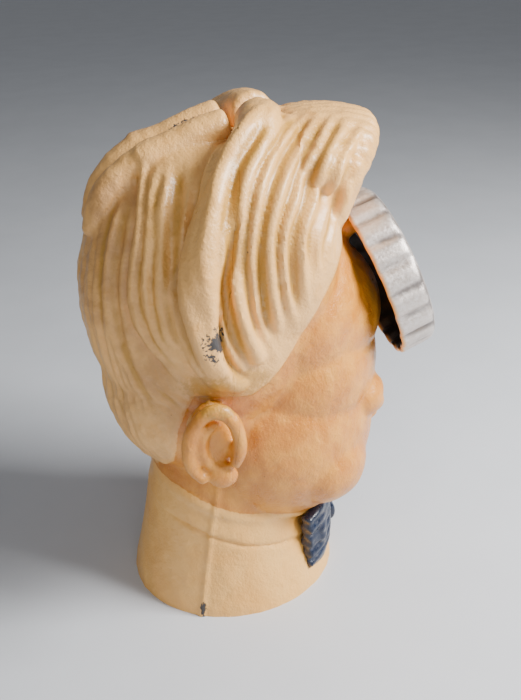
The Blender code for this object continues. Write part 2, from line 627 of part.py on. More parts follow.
LATCH_TOP = DOOR_TOP - TRAP_THICKNESS - JOINT_GAP
LATCH_BOSS_RADIUS = 3.5
fuse(base_plate, rod("latch_boss", at(0, LATCH_FWD, LATCH_TOP + JOINT_GAP), at(0, LATCH_FWD,
                                                                               PLATE_RECESS + 1),
                     LATCH_BOSS_RADIUS))
latch_hole = rod("latch_hole", at(0, LATCH_FWD, -5), at(0, LATCH_FWD, 20), PIN_RADIUS + PIN_CLEARANCE)
cut(base_plate, box("trap_opening", at(0, 0, PLATE_RECESS), (TRAP_OPENING, TRAP_OPENING, 30)),
    trap_hole, latch_hole)
pin("trap_hinge_pin", -KNUCKLE_REACH - TRAP_LUG_WIDTH - 0.8, KNUCKLE_REACH + TRAP_LUG_WIDTH + 0.8,
    *TRAP_HINGE,
    radius=TRAP_PIN_RADIUS)

latch_middle = LATCH_TOP - LATCH_THICKNESS / 2
trap_latch = rod("trap_latch", at(0, LATCH_FWD, LATCH_TOP), at(0, LATCH_FWD,
                                                               LATCH_TOP - LATCH_THICKNESS), 3.6, STEEL)
fuse(trap_latch, box("latch_bar", at(0, LATCH_FWD - 5.0, latch_middle), (5.0, 11.0, LATCH_THICKNESS - 0.2)),
     rod("latch_tip", at(0, LATCH_FWD - 10.0, LATCH_TOP - 0.2),
         at(0, LATCH_FWD - 10.0, LATCH_TOP - LATCH_THICKNESS + 0.2), 2.8))
cut(trap_latch, latch_hole)
latch_rivet = rod("latch_rivet", at(0, LATCH_FWD, LATCH_TOP - LATCH_THICKNESS - 0.9), at(0, LATCH_FWD,
                                                                                         PLATE_TOP + 1.2),
                  PIN_RADIUS, STEEL)
fuse(latch_rivet,
     rod("latch_rivet_head", at(0, LATCH_FWD, LATCH_TOP - LATCH_THICKNESS - JOINT_GAP),
         at(0, LATCH_FWD, LATCH_TOP - LATCH_THICKNESS - 1.4), 2.8, end_radius=2.0),
     rod("latch_rivet_tail", at(0, LATCH_FWD, PLATE_TOP + JOINT_GAP), at(0, LATCH_FWD, PLATE_TOP + 1.4),
         2.3,
         end_radius=1.8))

BASE_SCREW_RADIUS = 1.5
BASE_SCREW_HEAD_RADIUS = 2.9
SCREW_FROM_SIDE = 12.75       # from the sides of the base to its screws
SCREW_FROM_REAR = 13.00       # and from the rear of the base
LUG_TOP = 17.0
BASE_SCREWS = (("left", BASE_WIDTH / 2 - SCREW_FROM_SIDE, 6.0, front_casting),
               ("right", SCREW_FROM_SIDE - BASE_WIDTH / 2, 6.0, front_casting),
               ("rear", 0.0, SCREW_FROM_REAR - BASE_LENGTH / 2, rear_casting))
for side, x, fwd, owner in BASE_SCREWS:
    outward = Vector((x, fwd)).normalized() * 1.5
    fuse(owner, rod("base_lug_" + side, at(x + outward.x, fwd + outward.y, PLATE_TOP + JOINT_GAP),
                    at(x + outward.x, fwd + outward.y, LUG_TOP), 5.4))
    hole = rod("base_screw_hole_" + side, at(x, fwd, 0), at(x, fwd, LUG_TOP - 1.5),
               BASE_SCREW_RADIUS + PIN_CLEARANCE,
               segments=20)
    cut(owner, hole)
    cut(base_plate, hole)
    slotted_screw("base_screw_" + side, at(x, fwd, LUG_TOP - 2.5), at(x, fwd, PLATE_RECESS - JOINT_GAP),
                  BASE_SCREW_RADIUS, BASE_SCREW_HEAD_RADIUS, 2.0)

# ---------------------------------------------------------------- bow tie
BOW_UP = 14.2
BOW_FWD = 36.0
BOW_SEAT_GAP = 0.9
bow_blocks = [ball("bow_knot", at(0, BOW_FWD, BOW_UP), (6.0, 5.5, 7.5))]
for side, sign in (("left", 1), ("right", -1)):
    for name, out, back, lift, radii in (("inner", 10, 3.0, 0.5, (8, 4.5, 6.5)),
                                         ("outer", 19, 8.5, 1.5, (7.5, 5.5, 9.5))):
        bow_blocks.append(ball("bow_%s_%s" % (name, side), at(sign * out, BOW_FWD - back,
                                                              BOW_UP + lift), radii))
bow_form = merge("bow_form", bow_blocks, 1.2, 0.10)
mesh = bow_form.data.copy()
mesh.materials.clear()
mesh.materials.append(BOW_PAINT)
bow_tie = bpy.data.objects.new("bow_tie", mesh)
parts.objects.link(bow_tie)
cut(bow_tie, collar("bow_seat", -BOW_SEAT_GAP, -8.0),
    rod("bow_rivet_bore", at(0, 20, BOW_UP), at(0, BOW_FWD + 1.5, BOW_UP), 1.5, segments=20))
cut(front_casting, rod("bow_rivet_hole", at(0, 20, BOW_UP), at(0, BOW_FWD, BOW_UP), 1.5, segments=20))
bow_rivet = rod("bow_tie_rivet", at(0, 26.5, BOW_UP), at(0, BOW_FWD + 1.0, BOW_UP), 1.2, STEEL, segments=20)
fuse(bow_rivet, rod("bow_rivet_head", at(0, 25.6, BOW_UP), at(0, 26.9, BOW_UP), 2.0))
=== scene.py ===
"""Looks of the mechanical bank: painted cast-iron bust, ribbed cap, bow tie and bare metal mechanism.

Every place is given as (x, fwd, up) in millimetres: sideways, forward from the middle of the base, and above
the floor. The castings are one sculpted form, split along the casting joint like the real pair.
"""
import json
import math

import bmesh
import bpy
import numpy as np
from bpy.props import FloatProperty, FloatVectorProperty, IntProperty, PointerProperty
from mathutils import Matrix, Vector

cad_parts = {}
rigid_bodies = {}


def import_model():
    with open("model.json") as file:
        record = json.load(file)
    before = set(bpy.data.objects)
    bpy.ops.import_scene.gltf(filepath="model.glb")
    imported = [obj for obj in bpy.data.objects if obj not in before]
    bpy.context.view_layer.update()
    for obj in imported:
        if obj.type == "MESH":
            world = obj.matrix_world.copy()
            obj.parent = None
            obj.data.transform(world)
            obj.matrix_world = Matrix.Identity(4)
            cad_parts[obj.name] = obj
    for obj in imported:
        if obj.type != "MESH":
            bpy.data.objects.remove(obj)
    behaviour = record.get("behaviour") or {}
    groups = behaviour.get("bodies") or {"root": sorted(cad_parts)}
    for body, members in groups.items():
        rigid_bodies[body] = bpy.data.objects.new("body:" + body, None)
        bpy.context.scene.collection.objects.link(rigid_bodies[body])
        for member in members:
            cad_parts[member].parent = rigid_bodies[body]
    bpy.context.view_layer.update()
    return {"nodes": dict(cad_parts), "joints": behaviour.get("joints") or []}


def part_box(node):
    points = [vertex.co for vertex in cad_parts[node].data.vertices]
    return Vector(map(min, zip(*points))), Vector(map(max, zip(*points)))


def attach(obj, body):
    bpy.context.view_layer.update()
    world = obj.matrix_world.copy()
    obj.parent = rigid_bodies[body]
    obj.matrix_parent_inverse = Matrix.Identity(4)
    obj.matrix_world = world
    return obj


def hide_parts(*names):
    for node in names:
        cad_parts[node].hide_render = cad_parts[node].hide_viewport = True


bl_info = {
    "name": "Mechanical Bank Looks",
    "version": (1, 0, 0),
    "blender": (4, 5, 0),
    "location": "View3D > Sidebar > Bank",
    "description": "Builds the painted bust, cap, bow tie and finishes of a cast-iron mechanical bank",
    "category": "Add Mesh",
}

MM = 0.001

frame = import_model()
NODES = frame["nodes"]
PLATE_LOW, PLATE_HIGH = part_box("base_plate")
BASE_Y = (PLATE_LOW.y + PLATE_HIGH.y) / 2
CAP_LOW, CAP_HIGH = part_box("cap_shell")
EYE_LOW, EYE_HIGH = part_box("eyeball_left")
REAR_LOW, REAR_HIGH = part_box("rear_casting")
EYE_RADIUS = (EYE_HIGH.x - EYE_LOW.x) / 2 / MM
EYE_SIDE = (EYE_HIGH.x + EYE_LOW.x) / 2 / MM
EYE_FWD = (BASE_Y - (EYE_HIGH.y + EYE_LOW.y) / 2) / MM
EYE_UP = (EYE_HIGH.z + EYE_LOW.z) / 2 / MM

# middle of the ears
EAR_FWD = -10.2
EAR_UP = 84.5
SLOT_MIDDLE = (0, -15.5, 168)
SLOT_HALF_SIZE = (1.8, 17, 15)          # half of its width, length and depth
SLOT_SLOPE = math.radians(33)           # how steeply the crown rises forward at the slot

# the casting joint as seen from the side: (fwd, up)
JOINT_LINE = ((-19.0, -6.0), (-8.0, 52.0), (-2.0, 95.0), (-3.0, 125.0), (1.0, 152.0), (6.0, 172.0),
              (8.0, 200.0))
# where hair meets skin, as seen from the side: (fwd, up) from the nape round the ear to the forehead
HAIRLINE = ((-70, 50), (-27, 54), (-22, 66), (-20, 84), (-14, 99), (-4, 98), (4, 97), (10, 101), (16, 108),
            (22, 117), (28, 127), (32, 132), (35, 137), (38, 141), (44, 142), (60, 143), (90, 145))


# ---------------------------------------------------------------- places, meshes and objects
def at(x, fwd, up):
    """World position of a place given in millimetres."""
    return Vector((x * MM, BASE_Y - fwd * MM, up * MM))


def places_of(mesh):
    """Every vertex as (x, fwd, up) in millimetres, and its normal in the same axes."""
    count = len(mesh.vertices)
    flat = np.empty(count * 3, np.float32)
    mesh.vertices.foreach_get("co", flat)
    places = flat.reshape(-1, 3).astype(float)
    places = np.stack((places[:, 0], BASE_Y - places[:, 1], places[:, 2]), axis=1) / MM
    mesh.vertex_normals.foreach_get("vector", flat)
    normals = flat.reshape(-1, 3).astype(float) * (1, -1, 1)
    return places, normals


def put_places(mesh, places):
    """Move every vertex to its (x, fwd, up) in millimetres."""
    world = np.stack((places[:, 0] * MM, BASE_Y - places[:, 1] * MM, places[:, 2] * MM), axis=1)
    mesh.vertices.foreach_set("co", world.astype(np.float32).ravel())
    mesh.update()


def bake(obj):
    """The object's mesh with its modifiers applied; the object itself goes."""
    bpy.context.view_layer.update()
    mesh = bpy.data.meshes.new_from_object(obj.evaluated_get(bpy.context.evaluated_depsgraph_get()))
    bpy.data.objects.remove(obj)
    return mesh


def add_object(name, mesh):
    obj = bpy.data.objects.new(name, mesh)
    bpy.context.scene.collection.objects.link(obj)
    return obj


def ball(centre, radii, turn=0.0, segments=40, rings=28):
    """Mesh of an ellipsoid, turned about X by a number of degrees."""
    bm = bmesh.new()
    bmesh.ops.create_uvsphere(bm, u_segments=segments, v_segments=rings, radius=MM)
    bmesh.ops.scale(bm, vec=Vector(radii), verts=bm.verts)
    bmesh.ops.rotate(bm, cent=(0, 0, 0), matrix=Matrix.Rotation(math.radians(turn), 3, "X"), verts=bm.verts)
    bmesh.ops.translate(bm, vec=at(*centre), verts=bm.verts)
    mesh = bpy.data.meshes.new("ball")
    bm.to_mesh(mesh)
    bm.free()
    return mesh


def strand(points, sides=4):
    """Mesh of a round bar that follows points (x, fwd, up, radius), its ends closed."""
    curve = bpy.data.curves.new("strand", "CURVE")
    curve.dimensions = "3D"
    curve.bevel_depth = MM
    curve.bevel_resolution = sides
    curve.resolution_u = 8
    curve.use_fill_caps = True
    spline = curve.splines.new("BEZIER")
    spline.bezier_points.add(len(points) - 1)
    for knot, (x, fwd, up, radius) in zip(spline.bezier_points, points):
        knot.co = at(x, fwd, up)
        knot.radius = radius
        knot.handle_left_type = "AUTO"
        knot.handle_right_type = "AUTO"
    return bake(add_object("strand", curve))


def mirrored(points):
    return [(-point[0], *point[1:]) for point in points]


def merge(name, meshes, voxel, smoothing):
    """One closed skin round overlapping closed meshes."""
    bm = bmesh.new()
    for mesh in meshes:
        bm.from_mesh(mesh)
        bpy.data.meshes.remove(mesh)
    joined = bpy.data.meshes.new(name)
    bm.to_mesh(joined)
    bm.free()
    obj = add_object(name, joined)
    remesh = obj.modifiers.new("skin", "REMESH")
    remesh.mode = "VOXEL"
    remesh.voxel_size = voxel * MM
    blend = obj.modifiers.new("blend", "SMOOTH")
    blend.factor = 0.5
    blend.iterations = smoothing
    mesh = bake(obj)
    mesh.name = name
    return mesh


def curve_points(points, spacing=0.8):
    """Evenly spaced places along a smooth line through the points, with their directions."""
    knots = np.array(points, float)
    ends = np.vstack((2 * knots[0] - knots[1], knots, 2 * knots[-1] - knots[-2]))
    pieces = []
    for i in range(len(knots) - 1):
        a, b, c, d = ends[i:i + 4]
        steps = max(2, int(np.linalg.norm(c - b) / spacing))
        t = np.linspace(0, 1, steps, endpoint=False)[:, None]
        pieces.append(0.5 * (2 * b + (c - a) * t + (2 * a - 5 * b + 4 * c - d) * t ** 2
                             + (3 * b - a - 3 * c + d) * t ** 3))
    line = np.vstack(pieces + [knots[-1:]])
    heading = np.gradient(line, axis=0)
    return line, heading / np.linalg.norm(heading, axis=1)[:, None]


def side_distance(places, line):
    """Signed distance of each place from a line of (fwd, up) points: positive above or ahead of it."""
    best = np.full(len(places), 1e9)
    sign = np.ones(len(places))
    for (f0, u0), (f1, u1) in zip(line[:-1], line[1:]):
        span = np.array((f1 - f0, u1 - u0), float)
        offset = places[:, 1:] - (f0, u0)
        t = np.clip(offset @ span / (span @ span), 0, 1)
        gap = offset - t[:, None] * span
        distance = np.hypot(gap[:, 0], gap[:, 1])
        nearer = distance < best
        best[nearer] = distance[nearer]
        sign[nearer] = np.sign(span[0] * gap[:, 1] - span[1] * gap[:, 0])[nearer]
    return best * sign


def ramp(value, low, high):
    """Smooth rise from 0 at low to 1 at high."""
    t = np.clip((value - low) / (high - low), 0, 1)
    return t * t * (3 - 2 * t)


def bump(distance, width):
    return np.exp(-(distance / width) ** 2)


# ---------------------------------------------------------------- node materials
class Paint:
    """A procedural finish being laid up, node by node."""

    def __init__(self, name, roughness, metallic=0.0, coat=0.0):
        self.material = bpy.data.materials.new(name)
        self.material.use_nodes = True
        self.nodes = self.material.node_tree.nodes
        self.links = self.material.node_tree.links
        self.shader = self.nodes["Principled BSDF"]
        self.shader.inputs["Roughness"].default_value = roughness
        self.shader.inputs["Metallic"].default_value = metallic
        self.shader.inputs["Coat Weight"].default_value = coat
        self.shader.inputs["Coat Roughness"].default_value = 0.25
        self.coords = self.nodes.new("ShaderNodeTexCoord").outputs["Object"]

    def join(self, value, socket):
        if isinstance(value, bpy.types.NodeSocket):
            self.links.new(value, socket)
        else:
            socket.default_value = value

    def mask(self, name):
        node = self.nodes.new("ShaderNodeAttribute")
        node.attribute_name = name
        return node.outputs["Fac"]

    def noise(self, size, detail=4.0, roughness=0.6, stretch=(1, 1, 1)):
        """Cloudy pattern whose patches are about size millimetres across."""
        scale = self.nodes.new("ShaderNodeMapping")
        scale.inputs["Scale"].default_value = stretch
        self.links.new(self.coords, scale.inputs["Vector"])
        node = self.nodes.new("ShaderNodeTexNoise")
        node.inputs["Scale"].default_value = 1 / (size * MM)
        node.inputs["Detail"].default_value = detail
        node.inputs["Roughness"].default_value = roughness
        self.links.new(scale.outputs["Vector"], node.inputs["Vector"])
        return node.outputs["Fac"]

    def cells(self, size):
        node = self.nodes.new("ShaderNodeTexVoronoi")
        node.inputs["Scale"].default_value = 1 / (size * MM)
        self.links.new(self.coords, node.inputs["Vector"])
        return node.outputs["Distance"]

    def math(self, operation, a, b=0.0):
        node = self.nodes.new("ShaderNodeMath")
        node.operation = operation
        self.join(a, node.inputs[0])
        self.join(b, node.inputs[1])
        return node.outputs[0]

    def between(self, value, low, high, to_low=0.0, to_high=1.0):
        """Carry value from the range low..high to another range, smoothly and clamped."""
        node = self.nodes.new("ShaderNodeMapRange")
        node.interpolation_type = "SMOOTHSTEP"
        self.join(value, node.inputs["Value"])
        for name, number in (("From Min", low), ("From Max", high), ("To Min", to_low), ("To Max", to_high)):
            node.inputs[name].default_value = number
        return node.outputs["Result"]

    def mix(self, amount, a, b, mode="MIX"):
        node = self.nodes.new("ShaderNodeMix")
        node.data_type = "RGBA"
        node.blend_type = mode
        self.join(amount, node.inputs["Factor"])
        for value, socket in ((a, node.inputs["A"]), (b, node.inputs["B"])):
            self.join(value if isinstance(value, bpy.types.NodeSocket) else (*value, 1.0), socket)
        return node.outputs["Result"]

    def finish(self, colour, roughness=None, bumps=()):
        self.links.new(colour, self.shader.inputs["Base Color"])
        if roughness is not None:
            self.links.new(roughness, self.shader.inputs["Roughness"])
        normal = None
        for height, depth in bumps:
            node = self.nodes.new("ShaderNodeBump")
            node.inputs["Strength"].default_value = 1.0
            node.inputs["Distance"].default_value = depth * MM
            self.links.new(height, node.inputs["Height"])
            if normal is not None:
                self.links.new(normal, node.inputs["Normal"])
            normal = node.outputs["Normal"]
        if normal is not None:
            self.links.new(normal, self.shader.inputs["Normal"])
        return self.material


def colour_property(name, description, default):
    return FloatVectorProperty(name=name, description=description, default=default, subtype="COLOR", size=3,
                               min=0.0, max=1.0)


def length_property(name, description, default):
    return FloatProperty(name=name, description=description, default=default, min=0.0)


class BankPaints(bpy.types.PropertyGroup):
    hair: colour_property("Hair", "Cream enamel on the hair", (0.90, 0.49, 0.15))
    # Painted shade: darker, browner hair colour laid over the back of the head, standing in for the shade on
    # the side turned from the key light.
    rear_hair_painted_shade: colour_property("Hair shade", "Older, browner coat on the rear hair", (0.50, 0.25, 0.08))
    # Ochre: putty patch, stains and painted eyebrows; in the hair's grooves it is partly dirt gathered there
    # and partly painted shade in the hollows.
    ochre: colour_property("Ochre", "Varnish gathered in the grooves", (0.50, 0.25, 0.03))
    skin: colour_property("Skin", "Orange-tan enamel on the face", (0.60, 0.21, 0.016))
    skin_light: colour_property("Light skin", "Thin, rubbed places on the face", (0.74, 0.31, 0.035))
    blush: colour_property("Blush", "Rosy tint on the cheeks and lips", (0.60, 0.18, 0.08))
    collar: colour_property("Collar", "Cream enamel on the collar", (0.90, 0.49, 0.13))
    # Iron: bare casting under chips; it also darkens the cap's hollow inside as painted shade.
    iron: colour_property("Iron", "Bare casting under chips", (0.035, 0.03, 0.028))
    bow: colour_property("Bow tie", "Dark blue enamel", (0.0008, 0.007, 0.028))
    bow_light: colour_property("Rubbed bow tie", "Blue where the enamel is rubbed", (0.002, 0.015, 0.05))
    silver: colour_property("Silver", "Aluminium paint on the cap", (0.60, 0.52, 0.46))
    # Dull silver: the dark brown laid along the bottoms of the cap's flutes.
    silver_dark: colour_property("Dull silver", "Dirt in the cap's flutes", (0.12, 0.10, 0.095))
    steel: colour_property("Steel", "Pins, links and screws", (0.42, 0.42, 0.43))
    brass: colour_property("Brass", "Chute, gate and crank", (0.55, 0.38, 0.15))


class BankSizes(bpy.types.PropertyGroup):
    skin_voxel: length_property("Sculpt grain", "Size of the sculpted form's faces, mm", 0.85)
    smoothing: IntProperty(name="Smoothing", description="Passes that blend the form's blocks", default=9,
                           min=0)
    hair_lift: length_property("Hair lift", "How far hair stands out from skin, mm", 1.0)
    wall: length_property("Wall", "Thickness of the castings, mm", 4.5)
    joint_gap: length_property("Joint gap", "Opening left along the painted joint, mm", 0.04)
    ribs: IntProperty(name="Cap ribs", description="Flutes round the cap", default=20, min=6)
    rib_depth: length_property("Rib depth", "Depth of the cap's flutes, mm", 1.25)
    cap_tilt: FloatProperty(name="Cap tilt", description="Rise of the cap's axis above forward",
                            default=math.radians(20), subtype="ANGLE")


class BankStage(bpy.types.PropertyGroup):
    floor: colour_property("Floor", "Pale floor", (0.62, 0.64, 0.67))
    key: FloatProperty(name="Key light", description="Watts of the main soft light", default=8.5,
                       unit="POWER")
    fill: FloatProperty(name="Fill light", description="Watts of the light beside the camera", default=0.9,
                        unit="POWER")
    sky: FloatProperty(name="Sky", description="Strength of the even light", default=0.22)


class Bank(bpy.types.PropertyGroup):
    paints: PointerProperty(type=BankPaints)
    sizes: PointerProperty(type=BankSizes)
    stage: PointerProperty(type=BankStage)


HINGE_AT = next(joint for joint in frame["joints"] if joint["name"] == "cap_tip")["pos_m"]
HINGE = ((BASE_Y - HINGE_AT[1]) / MM, HINGE_AT[2] / MM)


# ---------------------------------------------------------------- the bust's form
FORM_BLOCKS = (
    # centre (x, fwd, up), radii (x, fwd, up)
    ((0, -0.8, 118), (42.5, 44.3, 55)),         # skull
    ((0, -8, 88), (36, 33.5, 37)),              # back of the head
    ((0, 25, 90), (36, 32.5, 33)),              # brow
    ((0, 22, 112), (37, 31, 34)),               # forehead
    ((0, 26, 108), (33, 33, 29)),               # its rounding inside the cap
    ((0, 19, 66), (38.5, 37.5, 42)),            # face
    ((0, 0, 45), (30, 29, 34)),                 # neck
    ((0, 37, 37), (17, 14, 12)),                # chin
    ((18, 31, 55), (19.5, 18.5, 18)),           # cheeks
    ((-18, 31, 55), (19.5, 18.5, 18)),
)
HAIR_BLOCKS = (
    ((0, -1.8, 120), (43.5, 43.5, 48)),         # hair over the skull
    ((0, 29, 161), (28, 17, 12)),               # body of the quiff
    ((17, 19, 152), (15, 23.5, 17)),            # front hair below the quiff
    ((-17, 19, 152), (15, 23.5, 17)),
    ((20, 11, 137), (24.0, 27, 36)),            # hair over the temples
    ((-20, 11, 137), (24.0, 27, 36)),
)
FACE_BLOCKS = (
    ((0, 57.5, 63.5), (5.8, 6.0, 5.4)),         # tip of the nose
    ((4.8, 54.5, 61.5), (3.8, 4.6, 3.6)),       # its wings
    ((-4.8, 54.5, 61.5), (3.8, 4.6, 3.6)),
    ((EYE_SIDE, EYE_FWD - 0.6, EYE_UP), (10.6, 9.7, 9.3)),
    ((-EYE_SIDE, EYE_FWD - 0.6, EYE_UP), (10.6, 9.7, 9.3)),
)


def front_locks():
    """The swept quiff: tapered locks side by side that rise off the crown and roll over at the front."""
    locks = []
    for step in range(-6, 7):
        out = abs(step) / 6
        x = 4.6 * step
        back = 12 * out ** 2
        drop = 7.5 * out ** 2.2
        locks.append([(x * 0.65, 17, 163 - drop, 6.5), (x * 0.85, 30 - 0.3 * back, 169.3 - drop, 7.2),
                      (x, 41 - 0.7 * back, 171.6 - drop, 5.6), (x * 0.98, 49.5 - back, 172.4 - drop, 3.2),
                      (x * 0.96, 53.8 - back, 171.2 - drop, 1.9), (x * 0.95, 49.5 - back, 165.5 - drop, 3.8),
                      (x * 0.93, 45.8 - 0.9 * back, 158 - drop, 4.2),
                      (x * 0.9, 41 - 0.7 * back, 151 - 0.6 * drop, 3.6)])
    return locks


def crown_locks():
    """The broad lock that sweeps from the crown to above each ear, and the curl where the pair meets."""
    sweep = [(-4, 17, 175.5, 6.8), (-16, 14.5, 173.5, 7.0), (-27, 7, 165, 7.0), (-35.5, -3, 152, 6.6),
             (-40, -9.5, 137, 6.0), (-41.5, -11, 122, 5.4), (-41.0, -7, 109, 4.6), (-39.5, 1, 102, 3.0)]
    inner = [(-4, 24, 172.5, 5.0), (-19, 21, 169, 5.2), (-31, 12, 157, 4.8), (-38.5, 3, 141, 4.4),
             (-41.5, 1, 124, 3.8), (-40.5, 6, 111, 3.0)]
    lip = [(-6.5, -38.5, 145, 3.4), (-6.6, -32, 156.5, 5.4), (-6.9, -22, 165, 5.4), (-6.8, -12, 169, 4.9),
           (-7, -3, 173, 4.6), (-7, 6, 176, 4.0)]
    return [sweep, mirrored(sweep), inner, mirrored(inner), lip, mirrored(lip)]


def ear(sign):
    """Meshes of one ear: flap, rolled rim, inner fold, tragus and lobe."""
    side = max(abs(REAR_LOW.x), REAR_HIGH.x) / MM
    centre_fwd, centre_up = EAR_FWD, EAR_UP

    def place(across, fwd, up, radius=None):
        """Across is measured inward from the ear's outermost point."""
        lean = 0.16 * (fwd - centre_fwd)
        point = (sign * (side - across + lean), fwd, up)
        return point if radius is None else (*point, radius)

    rim = []
    for degrees in range(-35, 276, 24):
        angle = math.radians(degrees)
        high = math.sin(angle)
        rim.append(place(3.6 + 1.4 * (1 - high) / 2, centre_fwd + 1.08 * high + 8.0 * math.cos(angle),
                         centre_up + 13.6 * high, 2.5 - 0.5 * (high < -0.5)))
    fold = [place(5.6, centre_fwd + 2, centre_up + 8.5, 1.2),
            place(4.6, centre_fwd - 2.6, centre_up + 5, 1.7),
            place(4.8, centre_fwd - 3.6, centre_up - 2, 1.7),
            place(5.4, centre_fwd - 1.5, centre_up - 8, 1.4)]
    return [ball(place(9.8, centre_fwd, centre_up), (4.0, 8.2, 14.2)),
            strand(rim), strand(fold),
            ball(place(6.4, centre_fwd + 6.8, centre_up - 3.0), (2.6, 2.2, 3.4)),
            ball(place(5.8, centre_fwd + 2.4, centre_up - 12.0), (2.6, 5.0, 4.8))]


def collar_rim(fwd):
    """Height of the collar's top edge, sloping down from the nape to the bow tie."""
    return np.interp(fwd, (-32, -20, 0, 18, 32), (53.5, 51.0, 42.0, 36.0, 29.0))


def collar_form(inset, bottom, top_drop=0.0):
    """Oval collar that flares to the base."""
    bm = bmesh.new()
    bmesh.ops.create_cone(bm, cap_ends=True, segments=96, radius1=1.0, radius2=1.0, depth=1.0)
    upright = [edge for edge in bm.edges if abs(edge.verts[0].co.z - edge.verts[1].co.z) > 0.5]
    bmesh.ops.subdivide_edges(bm, edges=upright, cuts=9)
    for vert in bm.verts:
        top = float(collar_rim(-31 * vert.co.y)) - top_drop
        height = bottom + (top - bottom) * (vert.co.z + 0.5)
        flare = (1.0 - max(height, 0.0) / top) ** 1.35
        half_length = (57.0 + 22.0 * flare) / 2 - inset
        half_width = (58.5 + 15.0 * flare) / 2 - inset
        vert.co = at(vert.co.x * half_width, -vert.co.y * half_length, height)
    mesh = bpy.data.meshes.new("collar")
    bm.to_mesh(mesh)
    bm.free()
    return mesh


def lips():
    upper = [(-10.5, 48.5, 46.6, 0.7), (-5, 53.0, 47.6, 1.7), (-1.6, 54.3, 48.4, 2.0), (0, 54.3, 47.9, 1.8),
             (1.6, 54.3, 48.4, 2.0), (5, 53.0, 47.6, 1.7), (10.5, 48.5, 46.6, 0.7)]
    lower = [(-8.8, 49.5, 45.6, 0.7), (-4, 52.5, 44.0, 2.0), (0, 53.3, 43.6, 2.3), (4, 52.5, 44.0, 2.0),
             (8.8, 49.5, 45.6, 0.7)]
    bridge = [(0, 50.5, 86, 4.6), (0, 53.0, 76, 3.6), (0, 56.0, 68, 4.2), (0, 57.5, 63.5, 4.6)]
    return [strand(upper), strand(lower), strand(bridge)]


def hinge_lugs():
    """The two lugs on the forehead that hold the cap's hinge pin."""
    fwd, up = HINGE
    return [strand([(x, fwd, up, 2.7), (x, fwd - 12, up - 8, 3.2)]) for x in (-3.6, 3.6)]


# ---------------------------------------------------------------- grooves of the hair
# Each groove: its line (x, fwd, up), depth, width, and the step up on its front side, in millimetres.
SIDE_GROOVES = (
    # the rear layer's edge, where the forward hair lies over it
    (((-2, -19, 169), (-12, -23, 162), (-21, -26, 154), (-26, -29, 143), (-30, -32, 131), (-33, -30, 121),
      (-36, -24, 112), (-38, -17, 103)), 0.9, 1.3, -2.4),
    # hooked grooves behind the broad lock
    (((-9, -17, 167), (-19, -21, 160), (-27, -24, 150), (-32, -27, 135), (-36, -26, 123), (-38, -21, 114),
      (-40, -15, 107)), 0.9, 1.1, -0.5),
    (((-16, -15, 166), (-24, -19, 158), (-31, -21, 146), (-35, -23, 135), (-38, -22, 122), (-40, -17, 114)),
     1.2, 1.2, -0.5),
    (((-21, -14, 163), (-28, -17, 154), (-34, -19, 143), (-37, -20, 133), (-40, -19, 122), (-43, -15, 115)),
     1.1, 1.2, 0.4),
    (((-15, -10, 168), (-25, -13, 159), (-32, -16, 149), (-38, -17, 138), (-43, -16, 125), (-44, -12, 113)),
     2.0, 1.8, 0.0),
    # the broad lock's rear and front edges
    (((-10, 3, 174), (-20, -2, 169), (-30, -8, 157), (-37, -13, 143), (-43, -15, 129), (-44, -12, 115),
      (-43, -6, 106)), 1.5, 1.5, -1.6),
    (((-13, 17, 179), (-24, 12, 177), (-31, 4, 169), (-39, -1, 159), (-43, -6, 145), (-44, -7, 128),
      (-44, -4, 113), (-40, 3, 101)), 1.7, 1.4, 1.4),
    # the deep valley under the curl, and the locks that fall from the quiff to the temple
    (((-2, 27, 176), (-18, 18, 176), (-26, 12, 174), (-33, 5, 168), (-39, 1, 158), (-42, -1, 147),
      (-43, -3, 137),
      (-44, -1, 122), (-41, 5, 107)), 2.3, 1.9, 0.0),
    (((-5, 31, 177), (-24, 18, 174), (-35, 9, 166), (-40, 5, 154), (-43, 3, 142), (-44, 4, 127),
      (-40, 9, 108)),
     1.3, 1.3, 0.6),
    (((-8, 34, 177), (-23, 23, 172), (-36, 14, 164), (-42, 9, 151), (-44, 8, 137), (-41, 11, 115)), 1.5,
     1.4, -0.5),
    (((-9, 38, 177), (-25, 27, 171), (-36, 19, 162), (-42, 13, 150), (-43, 13, 135), (-40, 16, 117)), 1.2,
     1.2, 0.5),
    (((-12, 42, 176), (-29, 31, 171), (-34, 24, 160), (-42, 18, 149), (-43, 18, 135), (-40, 20, 123)),
     1.5, 1.4, -0.6),
    (((-12, 46, 174), (-31, 34, 169), (-32, 29, 158), (-40, 23, 148), (-41, 23, 134)), 1.1, 1.2, 0.4),
    (((-12, 50, 171), (-30, 38, 165), (-30, 34, 154), (-37, 28, 145), (-39, 27, 136)), 1.2, 1.2, 0.0),
    # locks inside the rear layer
    (((-9, -27, 160), (-15, -34, 149), (-20, -38, 135), (-22, -39, 118), (-19, -37, 98), (-22, -30, 80)),
     1.0, 1.2, -0.3),
    (((-14, -25, 160), (-20, -31, 148), (-25, -35, 134), (-28, -35, 119), (-30, -31, 103), (-30, -26, 88)),
     1.2, 1.3, 0.3),
    (((-24, -33, 118), (-29, -28, 106), (-34, -22, 97), (-37, -17, 92)), 0.9, 1.2, 0.0),
)


def back_grooves():
    """Long shallow strands that fan from the crown down the back of the head to the nape."""
    grooves = []
    for step in range(-3, 4):
        line = []
        for fwd, up, spread in ((-26, 158, 2.0), (-34, 148, 4.6), (-41, 132, 6.4), (-44, 114, 7.0),
                                (-42, 94, 6.4),
                                (-34, 74, 5.4), (-27, 60, 5.0)):
            x = step * spread
            line.append((x, fwd + 0.011 * x * x, up - 0.01 * x * x))
        grooves.append((tuple(line), 0.7 if step % 2 else 1.0, 1.2, 0.0))
    return grooves


def all_grooves():
    grooves = back_grooves()
    for line, depth, width, step in SIDE_GROOVES:
        grooves.append((line, depth, width, step))
        grooves.append((tuple(mirrored(line)), depth, width, -step))
    return grooves


